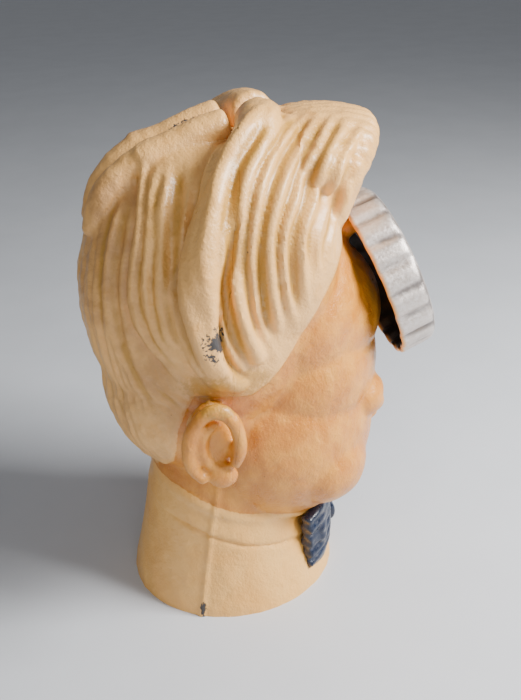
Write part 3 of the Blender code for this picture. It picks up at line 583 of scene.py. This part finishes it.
def groove_field(places, normals):
    """How far each place rises for the hair's grooves, and how deep it lies in one, 0 to 1; that depth sets
    the ochre laid in the groove, partly dirt and partly painted shade.
    """
    rise = np.zeros(len(places))
    shade = np.zeros(len(places))
    reach = 13.0
    for line, depth, width, step in all_grooves():
        points, heading = curve_points(line)
        near = np.all((places > points.min(0) - reach) & (places < points.max(0) + reach),
                      axis=1).nonzero()[0]
        if len(near) == 0:
            continue
        gaps = places[near][:, None, :] - points[None, :, :]
        distances = np.linalg.norm(gaps, axis=2)
        closest = distances.argmin(axis=1)
        rows = np.arange(len(near))
        distance = distances[rows, closest]
        ends = np.minimum(closest, len(points) - 1 - closest) / (0.16 * len(points))
        fade = ramp(ends, -0.1, 1.0)
        side = np.einsum("ij,ij->i", np.cross(normals[near], heading[closest]), gaps[rows, closest])
        facing = ramp(side, -0.8, 0.8)
        shoulder = 0.25 * depth * bump(distance - 2.2 * width, width)
        rise[near] += fade * (-depth * bump(distance, width) + shoulder
                              + step * facing * bump(distance, 8.0))
        ripple = 0.16 * np.cos(distance * 2 * math.pi / 3.1) * bump(distance, 7.0)
        rise[near] += fade * ripple
        shade[near] = np.maximum(shade[near], fade * depth * bump(distance, width * 1.05) / 1.6)
    return rise, np.clip(shade, 0, 1)


def lumps(places, size, seed):
    """Soft unevenness about size millimetres across, from a few crossed waves; mostly within -1 to 1."""
    chance = np.random.default_rng(seed)
    total = np.zeros(len(places))
    for _ in range(14):
        heading = chance.normal(size=3)
        heading *= 2 * math.pi / (size * chance.uniform(0.8, 1.6) * np.linalg.norm(heading))
        total += np.sin(places @ heading + chance.uniform(0, 2 * math.pi))
    return total / 3.2


def hair_amount(places, low, high):
    """1 on the hair and 0 on the skin, changing over the given distances from the hairline."""
    return ramp(side_distance(places, HAIRLINE), low, high)


def sculpt(mesh, sizes):
    """Sculpted relief over the merged form: hair, collar, seam and casting unevenness."""
    places, normals = places_of(mesh)
    hair = hair_amount(places, -0.6, 1.0)
    out = ramp(np.abs(places[:, 0]), 42.5, 44.5)
    ears = out * bump(places[:, 1] - EAR_FWD, 13) * bump(places[:, 2] - EAR_UP, 18)
    hair = hair * (1 - ramp(ears, 0.25, 0.6))
    grooves, _ = groove_field(places, normals)
    rise = hair * (sizes.hair_lift + grooves)
    rim = collar_rim(places[:, 1])
    above = places[:, 2] - rim
    outer = ramp(np.hypot(places[:, 0] / 30, places[:, 1] / 31), 0.9, 1.0)
    level = ramp(above, 0.6, -0.6)
    rise += outer * (1 - hair) * level * (0.9 + 0.5 * bump(above + 2.4, 1.6))
    fold = above + 13.5
    rise -= outer * level * 0.7 * bump(fold, 0.9) * ramp(places[:, 1], -30, -20)
    rise += outer * level * 0.45 * ramp(fold, 0, 1.4) * ramp(fold, 9, 3)
    seam = side_distance(places, JOINT_LINE)
    rise += bump(seam, 1.0) * 0.75 * ramp(places[:, 2], 62, 54) * (np.abs(places[:, 0]) > 20)
    rough = 0.5 + 0.4 * hair * ramp(-places[:, 1], 0, 22)
    rise += rough * (0.13 * lumps(places, 7.0, 1) + 0.08 * lumps(places, 3.2, 2))
    put_places(mesh, places + normals * rise[:, None])


# ---------------------------------------------------------------- masks painted on the castings
def paint_masks(mesh):
    """Store on each vertex how much of every paint layer it takes."""
    places, normals = places_of(mesh)
    x, fwd, up = places.T
    ears = ramp(np.abs(x), 42.8, 44.6) * ramp(np.hypot((fwd - EAR_FWD) / 11, (up - EAR_UP) / 18.5), 1.05, 0.9)
    hair = hair_amount(places, -0.5, 0.7) * (1 - ears)
    _, shade = groove_field(places, normals)
    above = up - collar_rim(fwd)
    collar = ramp(above, 0.8, -0.2)
    seam = np.abs(side_distance(places, JOINT_LINE))
    # Rear: rises towards the back of the head; it darkens the hair there as painted shade and makes it
    # rougher.
    rear = ramp(-fwd, 8, 30)
    patch = bump(np.hypot((fwd + 4) / 16, (up - 103) / 7.0), 1.0) * (np.abs(x) > 34)
    crown = side_distance(places, ((-32, 156), (-1, 178)))
    slot = bump(np.hypot(x / 5.0, crown / 4), 1.0) * ramp(np.abs(fwd + 5), 10, 7)
    cheeks = bump(np.hypot((np.abs(x) - 24) / 9, (up - 55) / 8), 1.0) * (fwd > 25) * 0.6
    mouth = bump(np.hypot(x / 9.5, (up - 46) / 3.2), 1.0) * (fwd > 47)
    arch = np.abs(x) - 15
    brows = bump(up - 91.5 + 0.035 * arch ** 2, 1.3) * ramp(np.abs(arch), 9.5, 7) * (fwd > 40)
    chip_seam = bump(seam, 1.4) * ramp(up, 8, 5) * (x < 0)
    knock = np.linalg.norm((places - (-45.5, -8, 121)) / (1.0, 0.75, 1.25), axis=1)
    chip_side = bump(knock, 6.5) * (x < 0)
    masks = {"hair": hair, "collar": collar, "groove": shade * hair, "rear": rear, "patch": patch,
             "worn": np.clip(slot + chip_seam + 1.25 * chip_side, 0, 1.25),
             "blush": np.clip(cheeks + mouth, 0, 1), "brow": brows}
    for name, values in masks.items():
        attribute = mesh.attributes.new(name, "FLOAT", "POINT")
        attribute.data.foreach_set("value", np.ascontiguousarray(values, dtype=np.float32))


def casting_paint(paints):
    """Hand-brushed enamel over rough iron: cream hair and collar, tan skin, ochre hollows partly painted as
    shade, dark chips, and painted shade darkening the rear hair.
    """
    paint = Paint("casting_enamel", 0.36, coat=0.4)
    cloud = paint.noise(22, detail=5)
    speck = paint.noise(2.4, detail=6, roughness=0.7)
    grain = paint.noise(0.9, detail=3, roughness=0.55)
    brushed = paint.noise(7, detail=4, roughness=0.6, stretch=(1.0, 1.0, 0.75))
    hair_edge = paint.between(paint.math("ADD", paint.mask("hair"),
                                         paint.between(speck, 0.3, 0.7, -0.12, 0.12)),
                              0.42, 0.58)
    # Painted shade: cloudy patches of the darker hair colour, stronger towards the back of the head, stand in
    # for the shade there.
    rear = paint.mask("rear")
    fade = paint.math("MULTIPLY", paint.between(cloud, 0.35, 0.68), paint.between(rear, 0.0, 1.0, 0.25, 0.85))
    hair = paint.mix(fade, paints.hair, paints.rear_hair_painted_shade)
    hair = paint.mix(paint.between(brushed, 0.5, 0.75, 0.0, 0.35), hair, paints.skin_light)
    # Ochre in the hair's grooves, more in deeper ones: partly dirt gathered there, partly painted shade in
    # the hollows.
    groove = paint.math("MULTIPLY", paint.mask("groove"), paint.between(cloud, 0.25, 0.6, 0.35, 1.0))
    hair = paint.mix(paint.between(groove, 0.05, 0.55, 0.0, 0.85), hair, paints.ochre)
    skin = paint.mix(paint.between(brushed, 0.35, 0.7), paints.skin, paints.skin_light)
    skin = paint.mix(paint.math("MULTIPLY", paint.mask("blush"), 0.4), skin, paints.blush)
    skin = paint.mix(paint.math("MULTIPLY", paint.mask("brow"), 0.75), skin, paints.ochre)
    collar = paint.mix(paint.between(cloud, 0.35, 0.7, 0.0, 0.5), paints.collar, paints.skin_light)
    collar_edge = paint.between(paint.math("ADD", paint.mask("collar"),
                                           paint.between(speck, 0.3, 0.7, -0.1, 0.1)),
                                0.4, 0.6)
    colour = paint.mix(hair_edge, skin, hair)
    colour = paint.mix(collar_edge, colour, collar)
    patch = paint.between(paint.math("MULTIPLY", paint.mask("patch"),
                                     paint.between(speck, 0.3, 0.6, 0.5, 1.3)),
                          0.3, 0.7, 0.0, 0.75)
    colour = paint.mix(patch, colour, paints.ochre)
    stains = paint.between(speck, 0.66, 0.78, 0.0, 0.5)
    colour = paint.mix(stains, colour, paints.ochre)
    chips = paint.between(paint.math("ADD", paint.math("MULTIPLY", paint.mask("worn"), 0.42), speck),
                          0.80, 0.84)
    flecks = paint.between(paint.noise(1.7, detail=2), 0.775, 0.80)
    bare = paint.math("MAXIMUM", chips, flecks)
    colour = paint.mix(bare, colour, paints.iron)
    gloss = paint.between(brushed, 0.3, 0.7, 0.26, 0.44)
    gloss = paint.math("ADD", gloss, paint.math("MULTIPLY", rear, 0.18))
    roughness = paint.math("MAXIMUM", gloss, paint.math("MULTIPLY", bare, 0.7))
    height = paint.math("SUBTRACT", grain, paint.math("MULTIPLY", bare, 0.8))
    return paint.finish(colour, roughness, ((height, 0.22), (brushed, 0.5), (speck, 0.40)))


def bare_casting(paints):
    paint = Paint("bare_casting", 0.7, metallic=0.6)
    rust = paint.between(paint.noise(9, detail=6), 0.42, 0.62)
    colour = paint.mix(rust, paints.iron, (0.09, 0.045, 0.022))
    return paint.finish(colour, paint.between(paint.noise(3), 0.3, 0.7, 0.55, 0.85),
                        ((paint.noise(1.1), 0.3),))


def metal_finish(name, colour, dull, roughness, stretch=(1, 1, 1)):
    paint = Paint(name, roughness, metallic=1.0)
    smear = paint.between(paint.noise(5, detail=5, stretch=stretch), 0.4, 0.7)
    tint = paint.mix(smear, colour, dull)
    return paint.finish(tint, paint.between(paint.noise(2.0), 0.3, 0.7, roughness - 0.08, roughness + 0.14),
                        ((paint.noise(0.5, detail=2), 0.03),))


# ---------------------------------------------------------------- cutting the form into castings
def cut(obj, tools):
    """Cut the tool meshes away; the cut faces take the second material."""
    for index, mesh in enumerate(tools):
        mesh.materials.clear()
        for material in obj.data.materials:
            mesh.materials.append(material)
        mesh.polygons.foreach_set("material_index", [1] * len(mesh.polygons))
        tool = add_object("tool", mesh)
        step = obj.modifiers.new("cut %d" % index, "BOOLEAN")
        step.operation = "DIFFERENCE"
        step.solver = "MANIFOLD"
        step.object = tool
        step.material_mode = "INDEX"
    result = bake(obj)
    for tool in [o for o in bpy.data.objects if o.name.startswith("tool")]:
        bpy.data.objects.remove(tool)
    return result


def block(low, high):
    """Mesh of a box between two (x, fwd, up) corners."""
    bm = bmesh.new()
    bmesh.ops.create_cube(bm, size=1.0)
    a, b = at(*low), at(*high)
    bmesh.ops.scale(bm, vec=[abs(v) for v in b - a], verts=bm.verts)
    bmesh.ops.translate(bm, vec=(a + b) / 2, verts=bm.verts)
    mesh = bpy.data.meshes.new("block")
    bm.to_mesh(mesh)
    bm.free()
    return mesh


def bar(start, end, radius):
    """Mesh of a round bar between two (x, fwd, up) places."""
    bm = bmesh.new()
    a, b = at(*start), at(*end)
    span = b - a
    bmesh.ops.create_cone(bm, cap_ends=True, segments=32, radius1=radius * MM, radius2=radius * MM,
                          depth=span.length)
    turn = Vector((0, 0, 1)).rotation_difference(span.normalized()).to_matrix()
    bmesh.ops.rotate(bm, cent=(0, 0, 0), matrix=turn, verts=bm.verts)
    bmesh.ops.translate(bm, vec=(a + b) / 2, verts=bm.verts)
    mesh = bpy.data.meshes.new("bar")
    bm.to_mesh(mesh)
    bm.free()
    return mesh


def beyond_joint(towards, gap):
    """Mesh of everything on one side of the casting joint."""
    far = 140.0 * towards
    outline = [(fwd + gap, up) for fwd, up in JOINT_LINE]
    outline += [(far, JOINT_LINE[-1][1]), (far, JOINT_LINE[0][1])]
    bm = bmesh.new()
    left = [bm.verts.new(at(-90, *point)) for point in outline]
    right = [bm.verts.new(at(90, *point)) for point in outline]
    bm.faces.new(left)
    bm.faces.new(right[::-1])
    count = len(outline)
    for i in range(count):
        j = (i + 1) % count
        bm.faces.new((left[j], left[i], right[i], right[j]))
    bmesh.ops.triangulate(bm, faces=bm.faces)
    bmesh.ops.recalc_face_normals(bm, faces=bm.faces)
    mesh = bpy.data.meshes.new("beyond_joint")
    bm.to_mesh(mesh)
    bm.free()
    return mesh


def hollow_form(wall):
    """The space inside both castings."""
    kept = list(FORM_BLOCKS[:6]) + list(HAIR_BLOCKS[:1])
    meshes = [ball(centre, [radius - wall for radius in radii]) for centre, radii in kept]
    meshes.append(collar_form(wall, -8.0, 4.0))
    return merge("hollow", meshes, 2.0, 6)


def build_castings(bank):
    """The front and rear castings, from one sculpted form."""
    sizes = bank.sizes
    meshes = [ball(centre, radii) for centre, radii in FORM_BLOCKS + HAIR_BLOCKS + FACE_BLOCKS]
    meshes += [strand(points) for points in front_locks() + crown_locks()]
    meshes += lips() + ear(1) + ear(-1) + hinge_lugs()
    meshes.append(collar_form(0.0, -8.0))
    form = merge("bust_form", meshes, sizes.skin_voxel * (1.0),
                 sizes.smoothing)
    sculpt(form, sizes)
    enamel = casting_paint(bank.paints)
    iron = bare_casting(bank.paints)
    form.materials.clear()
    form.materials.append(enamel)
    form.materials.append(iron)
    form.polygons.foreach_set("material_index", [0] * len(form.polygons))
    hollow = hollow_form(sizes.wall)
    floor = block((-150, -150, -60), (150, 150, 0))
    pieces = []
    for name, side in (("front", -1), ("rear", 1)):
        tools = [floor.copy(), hollow.copy(), beyond_joint(side, -side * sizes.joint_gap / 2)]
        if name == "front":
            for sign in (1, -1):
                tools.append(ball((sign * EYE_SIDE, EYE_FWD, EYE_UP), [EYE_RADIUS + 0.35] * 3))
                tools.append(ball((sign * EYE_SIDE, EYE_FWD + 8, EYE_UP - 0.2), (6.6, 10, 4.0)))
            tools.append(block((-2.0, HINGE[0] - 21, HINGE[1] - 19), (2.0, HINGE[0] + 5, HINGE[1] + 5)))
        else:
            tools.append(slot_cutter())
            for screw in ("case_screw_upper", "case_screw_lower"):
                low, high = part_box(screw)
                up = (low.z + high.z) / 2 / MM
                across = (low.x + high.x) / 2 / MM
                seat = (BASE_Y - high.y) / MM + 2.9
                tools.append(bar((across, -70, up), (across, seat, up), 4.7))
        obj = add_object(name + "_form", form.copy())
        mesh = cut(obj, tools)
        mesh.name = "painted_" + name
        mesh.shade_smooth()
        mesh.set_sharp_from_angle(angle=math.radians(50))
        paint_masks(mesh)
        pieces.append(add_object("painted_%s_casting" % name, mesh))
    return pieces


def slot_cutter():
    """Mesh of the coin slot, tilted with the crown."""
    mesh = block([-half for half in SLOT_HALF_SIZE], SLOT_HALF_SIZE)
    turn = Matrix.Rotation(-SLOT_SLOPE, 4, "X")
    mesh.transform(Matrix.Translation(at(*SLOT_MIDDLE)) @ turn @ Matrix.Translation(-at(0, 0, 0)))
    return mesh


# ---------------------------------------------------------------- cap
def build_cap(bank):
    """The fluted cap: plain front with a raised bead, fluted wall and hollow back."""
    sizes = bank.sizes
    tilt = sizes.cap_tilt
    radius = (CAP_HIGH.x - CAP_LOW.x) / 2 / MM
    depth = 14.0
    centre_y = (CAP_LOW.y + CAP_HIGH.y) / 2
    centre_z = (CAP_LOW.z + CAP_HIGH.z) / 2
    axis = Vector((0, -math.cos(tilt), math.sin(tilt)))
    rim_centre = Vector((0, centre_y, centre_z)) - axis * depth / 2 * MM
    profile = [(0.02, 13.6, 0), (9, 13.6, 0), (18, 13.5, 0), (20.6, 13.5, 0), (21.4, 13.9, 0),
               (22.2, 14.15, 0),
               (23.0, 13.9, 0), (23.8, 13.5, 0), (26.2, 13.5, 0.0), (27.9, 13.35, 0.1), (29.0, 12.7, 0.35),
               (29.7, 11.7, 0.65), (29.95, 10.2, 0.9), (30.1, 8.0, 1.0), (30.2, 5.5, 1.0), (30.3, 3.0, 1.0),
               (30.45, 1.4, 1.0), (30.4, 0.5, 1.0), (30.0, 0.05, 1.0), (29.4, 0.0, 1.0), (28.9, 0.35, 0.9),
               (28.5, 1.6, 0.7), (27.9, 5.0, 0.5), (27.2, 9.0, 0.3), (26.4, 10.9, 0.1), (24.8, 11.6, 0),
               (12, 11.6, 0), (0.02, 11.6, 0)]
    per_rib = 16
    count = sizes.ribs * per_rib
    bm = bmesh.new()
    turn = Vector((0, 0, 1)).rotation_difference(axis).to_matrix()
    rings = []
    for reach, height, fluted in profile:
        ring = []
        for i in range(count):
            angle = 2 * math.pi * i / count
            wave = 0.5 - 0.5 * math.cos(sizes.ribs * angle)
            size = (reach * radius / 30.5 - sizes.rib_depth * fluted * wave ** 2.6) * MM
            place = Vector((size * math.cos(angle), size * math.sin(angle), height * MM))
            ring.append(bm.verts.new(rim_centre + turn @ place))
        rings.append(ring)
    for ring, following in zip(rings[:-1], rings[1:]):
        for i in range(count):
            j = (i + 1) % count
            bm.faces.new((ring[i], ring[j], following[j], following[i]))
    bm.faces.new(rings[0][::-1])
    bm.faces.new(rings[-1])
    bmesh.ops.recalc_face_normals(bm, faces=bm.faces)
    mesh = bpy.data.meshes.new("fluted_cap")
    bm.to_mesh(mesh)
    bm.free()
    mesh.shade_smooth()
    places, _ = places_of(mesh)
    hub = (BASE_Y - rim_centre.y) / MM, rim_centre.z / MM
    forward = (places[:, 1] - hub[0]) * math.cos(tilt) + (places[:, 2] - hub[1]) * math.sin(tilt)
    rise = -(places[:, 1] - hub[0]) * math.sin(tilt) + (places[:, 2] - hub[1]) * math.cos(tilt)
    reach = np.hypot(places[:, 0], rise)
    angle = np.arctan2(rise, places[:, 0])
    flute = np.clip((radius * 0.985 - reach) / sizes.rib_depth, 0, 1) * ramp(reach, 27.5, 28.3)
    # Inside: the hollow back of the cap, which takes the dark iron colour as painted shade.
    inside = ramp(reach, 28.9, 28.3) * ramp(forward, 12.6, 12.0)
    for name, values in (("flute", flute), ("rim", ramp(forward, 0.9, 0.3)), ("inside", inside)):
        attribute = mesh.attributes.new(name, "FLOAT", "POINT")
        attribute.data.foreach_set("value", np.ascontiguousarray(values, dtype=np.float32))
    mesh.materials.append(silver_paint(bank.paints))
    return add_object("fluted_cap", mesh)


def silver_paint(paints):
    """Aluminium paint, brushed on thick: speckled shine, dark brown along the flutes."""
    paint = Paint("aluminium_paint", 0.42, metallic=0.6, coat=0.1)
    speck = paint.noise(1.1, detail=5, roughness=0.75)
    cloud = paint.noise(9, detail=4)
    colour = paint.mix(paint.between(speck, 0.35, 0.68), paints.silver, (0.72, 0.66, 0.62))
    # Darker along the flutes, the deeper into a flute the more.
    flute_darkening = paint.math("MULTIPLY", paint.mask("flute"), paint.between(cloud, 0.25, 0.65, 0.35, 1.0))
    colour = paint.mix(paint.between(flute_darkening, 0.2, 0.9, 0.0, 0.8), colour, paints.silver_dark)
    colour = paint.mix(paint.between(cloud, 0.55, 0.75, 0.0, 0.4), colour, (0.30, 0.22, 0.15))
    edge = paint.math("MULTIPLY", paint.mask("rim"), paint.between(cloud, 0.3, 0.5, 0.3, 1.0))
    colour = paint.mix(edge, colour, paints.hair)
    # Painted shade: the cap's hollow inside is painted the dark iron colour.
    colour = paint.mix(paint.mask("inside"), colour, paints.iron)
    return paint.finish(colour, paint.between(speck, 0.3, 0.7, 0.30, 0.55), ((speck, 0.16), (cloud, 0.25)))


# ---------------------------------------------------------------- bow tie
def build_bow(bank):
    """The pleated bow tie: a knot and two wings whose folds fan out from it."""
    meshes = [ball((0, 37.6, 20.0), (5.6, 5.0, 8.8))]
    for sign in (1, -1):
        for height, tip, radius in ((8.4, 8.6, 2.7), (11.9, 14.0, 3.0), (15.9, 19.4, 3.0), (19.9, 25.0, 2.9),
                                    (22.9, 29.2, 2.5)):
            meshes.append(strand([(sign * 2.5, 36.6, 0.55 * height + 10.8, 2.3),
                                  (sign * 9, 36.2, 0.8 * height + 6.6, radius),
                                  (sign * 18, 32.2, tip, radius), (sign * 25.5, 24.8, tip, radius * 0.95)]))
        meshes.append(ball((sign * 14, 31.6, 19.2), (9.5, 3.8, 9.2)))
        meshes.append(ball((sign * 3.6, 40.6, 14.8), (2.8, 2.2, 4.2)))
        meshes.append(ball((sign * 3.0, 40.4, 23.0), (2.6, 2.0, 3.4)))
    mesh = merge("pleated_bow_tie", meshes, 0.6, 4)
    places, normals = places_of(mesh)
    x, _, up = places.T
    crease = bump(np.abs(x) - 6.4, 0.9) * 0.8
    waves = 0.25 * np.sin(up * 1.5 + np.abs(x) * 0.25) * ramp(np.abs(x), 7, 10)
    put_places(mesh, places + normals * (waves - crease)[:, None])
    paint = Paint("blue_enamel", 0.28, coat=0.5)
    speck = paint.noise(2.2, detail=5, roughness=0.7)
    cloud = paint.noise(7, detail=4)
    colour = paint.mix(paint.between(cloud, 0.5, 0.8), bank.paints.bow, bank.paints.bow_light)
    colour = paint.mix(paint.between(speck, 0.70, 0.76), colour, bank.paints.iron)
    mesh.materials.append(paint.finish(colour, paint.between(speck, 0.3, 0.7, 0.2, 0.45),
                                       ((speck, 0.15), (cloud, 0.4))))
    mesh.polygons.foreach_set("material_index", [0] * len(mesh.polygons))
    mesh.shade_smooth()
    tool = collar_form(-1.2, -8.0)
    obj = add_object("pleated_bow_tie", mesh)
    mesh.materials.append(bare_casting(bank.paints))
    return add_object("pleated_bow_tie", cut(obj, [tool]))


# ---------------------------------------------------------------- eyes
def build_eyes():
    """Painted eyeballs, dark pupils facing forward."""
    eyes = []
    for side, sign in (("left", 1), ("right", -1)):
        centre = at(sign * EYE_SIDE, EYE_FWD, EYE_UP)
        mesh = ball((0, 0, 0), [EYE_RADIUS] * 3, segments=64, rings=48)
        mesh.transform(Matrix.Translation(-at(0, 0, 0)))
        mesh.shade_smooth()
        places = np.array([v.co for v in mesh.vertices]) / MM
        look = places[:, 1] / EYE_RADIUS * -1
        off = np.degrees(np.arccos(np.clip(look, -1, 1)))
        for name, values in (("iris", ramp(off, 27, 25)), ("pupil", ramp(off, 15, 13))):
            attribute = mesh.attributes.new(name, "FLOAT", "POINT")
            attribute.data.foreach_set("value", values.astype(np.float32))
        paint = Paint("eye_enamel_" + side, 0.2, coat=0.6)
        cloud = paint.noise(3)
        white = paint.mix(paint.between(cloud, 0.4, 0.7), (0.78, 0.72, 0.60), (0.66, 0.56, 0.40))
        colour = paint.mix(paint.mask("iris"), white, (0.05, 0.035, 0.02))
        colour = paint.mix(paint.mask("pupil"), colour, (0.008, 0.008, 0.01))
        mesh.materials.append(paint.finish(colour, paint.between(cloud, 0.3, 0.7, 0.15, 0.3),
                                           ((cloud, 0.05),)))
        obj = add_object("painted_eye_" + side, mesh)
        obj.location = centre
        eyes.append((obj, "eyeball_" + side))
    return eyes


# ---------------------------------------------------------------- stage
def build_stage(stage):
    bm = bmesh.new()
    bmesh.ops.create_grid(bm, x_segments=2, y_segments=2, size=3.0)
    mesh = bpy.data.meshes.new("floor")
    bm.to_mesh(mesh)
    bm.free()
    floor = add_object("floor", mesh)
    paint = Paint("pale_floor", 0.8)
    soft = paint.noise(60, detail=3)
    tone = paint.mix(paint.between(soft, 0.3, 0.7), stage.floor, [0.96 * part for part in stage.floor])
    mesh.materials.append(paint.finish(tone))
    world = bpy.data.worlds.new("studio")
    bpy.context.scene.world = world
    world.use_nodes = True
    background = world.node_tree.nodes["Background"]
    background.inputs["Color"].default_value = (0.93, 0.95, 1.0, 1.0)
    background.inputs["Strength"].default_value = stage.sky
    middle = at(0, 0, 95)
    for name, place, size, power in (("key", (-190, 400, 430), 0.22, stage.key),
                                     ("fill", (-480, -120, 260), 0.50, stage.fill)):
        light = bpy.data.lights.new(name, "AREA")
        light.energy = power
        light.size = size
        lamp = add_object(name, light)
        lamp.location = at(*place)
        lamp.rotation_euler = (middle - lamp.location).to_track_quat("-Z", "Y").to_euler()


def build_camera():
    """Camera beside and above the right ear, a little behind it."""
    target = at(0, 15.2, 91.5)
    azimuth, elevation, roll = math.radians(-101.0), math.radians(28.08), math.radians(-2.5)
    back = Vector((math.sin(azimuth) * math.cos(elevation), -math.cos(azimuth) * math.cos(elevation),
                   math.sin(elevation)))
    right = Vector((0, 0, 1)).cross(back).normalized()
    up = back.cross(right)
    right, up = (math.cos(roll) * right + math.sin(roll) * up, -math.sin(roll) * right + math.cos(roll) * up)
    camera = bpy.data.cameras.new("camera")
    camera.lens = 36.0 * 820.0 / 700.0
    camera.sensor_width = 36.0
    camera.clip_start = 0.01
    obj = add_object("camera", camera)
    turn = Matrix((right, up, back)).transposed().to_4x4()
    obj.matrix_world = Matrix.Translation(target + back * 0.3007) @ turn
    bpy.context.scene.camera = obj


# ---------------------------------------------------------------- operators
class BANK_OT_castings(bpy.types.Operator):
    """Sculpt the bust and split it into its front and rear castings"""
    bl_idname = "bank.castings"
    bl_label = "Castings"

    def execute(self, context):
        front, rear = build_castings(context.scene.bank)
        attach(front, "bust")
        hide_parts("front_casting")
        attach(rear, "bust")
        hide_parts("rear_casting")
        return {"FINISHED"}


class BANK_OT_cap(bpy.types.Operator):
    """Build the fluted silver cap"""
    bl_idname = "bank.cap"
    bl_label = "Cap"

    def execute(self, context):
        cap = build_cap(context.scene.bank)
        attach(cap, "cap")
        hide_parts("cap_shell")
        return {"FINISHED"}


class BANK_OT_bow_tie(bpy.types.Operator):
    """Build the pleated bow tie"""
    bl_idname = "bank.bow_tie"
    bl_label = "Bow Tie"

    def execute(self, context):
        bow = build_bow(context.scene.bank)
        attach(bow, "bust")
        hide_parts("bow_tie")
        return {"FINISHED"}


class BANK_OT_eyes(bpy.types.Operator):
    """Build the painted eyeballs"""
    bl_idname = "bank.eyes"
    bl_label = "Eyes"

    def execute(self, context):
        for eye, node in build_eyes():
            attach(eye, "eyes")
            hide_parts(node)
        return {"FINISHED"}


class BANK_OT_mechanism(bpy.types.Operator):
    """Give every carried-over part its own metal finish"""
    bl_idname = "bank.mechanism"
    bl_label = "Mechanism Finishes"

    def execute(self, context):
        paints = context.scene.bank.paints
        steel = metal_finish("oiled_steel", paints.steel, (0.16, 0.14, 0.12), 0.36)
        brass = metal_finish("aged_brass", paints.brass, (0.20, 0.12, 0.05), 0.34)
        iron = bare_casting(paints)
        finishes = {"brass": brass, "bare_iron": iron}
        for node in NODES.values():
            if node.hide_render:
                continue
            old = node.data.materials[0].name.split(".")[0] if node.data.materials else ""
            node.data.materials.clear()
            node.data.materials.append(finishes.get(old, steel))
            node.data.polygons.foreach_set("material_index", [0] * len(node.data.polygons))
        return {"FINISHED"}


class BANK_OT_stage(bpy.types.Operator):
    """Lay the floor and set up the lights and camera"""
    bl_idname = "bank.stage"
    bl_label = "Stage"

    def execute(self, context):
        build_stage(context.scene.bank.stage)
        build_camera()
        return {"FINISHED"}


class BANK_PT_sidebar(bpy.types.Panel):
    bl_label = "Mechanical Bank"
    bl_idname = "BANK_PT_sidebar"
    bl_space_type = "VIEW_3D"
    bl_region_type = "UI"
    bl_category = "Bank"

    def draw(self, context):
        for operator in OPERATORS:
            self.layout.operator(operator.bl_idname)
        for group in (context.scene.bank.sizes, context.scene.bank.paints, context.scene.bank.stage):
            box = self.layout.box()
            for name in group.bl_rna.properties.keys():
                if name not in ("rna_type", "name"):
                    box.prop(group, name)


OPERATORS = (BANK_OT_castings, BANK_OT_cap, BANK_OT_bow_tie, BANK_OT_eyes, BANK_OT_mechanism, BANK_OT_stage)
CLASSES = (BankPaints, BankSizes, BankStage, Bank) + OPERATORS + (BANK_PT_sidebar,)


def register():
    for cls in CLASSES:
        bpy.utils.register_class(cls)
    bpy.types.Scene.bank = PointerProperty(type=Bank)


def unregister():
    del bpy.types.Scene.bank
    for cls in reversed(CLASSES):
        bpy.utils.unregister_class(cls)


def main():
    register()
    for operator in OPERATORS:
        space, name = operator.bl_idname.split(".")
        getattr(getattr(bpy.ops, space), name)()


if __name__ == "__main__":
    main()
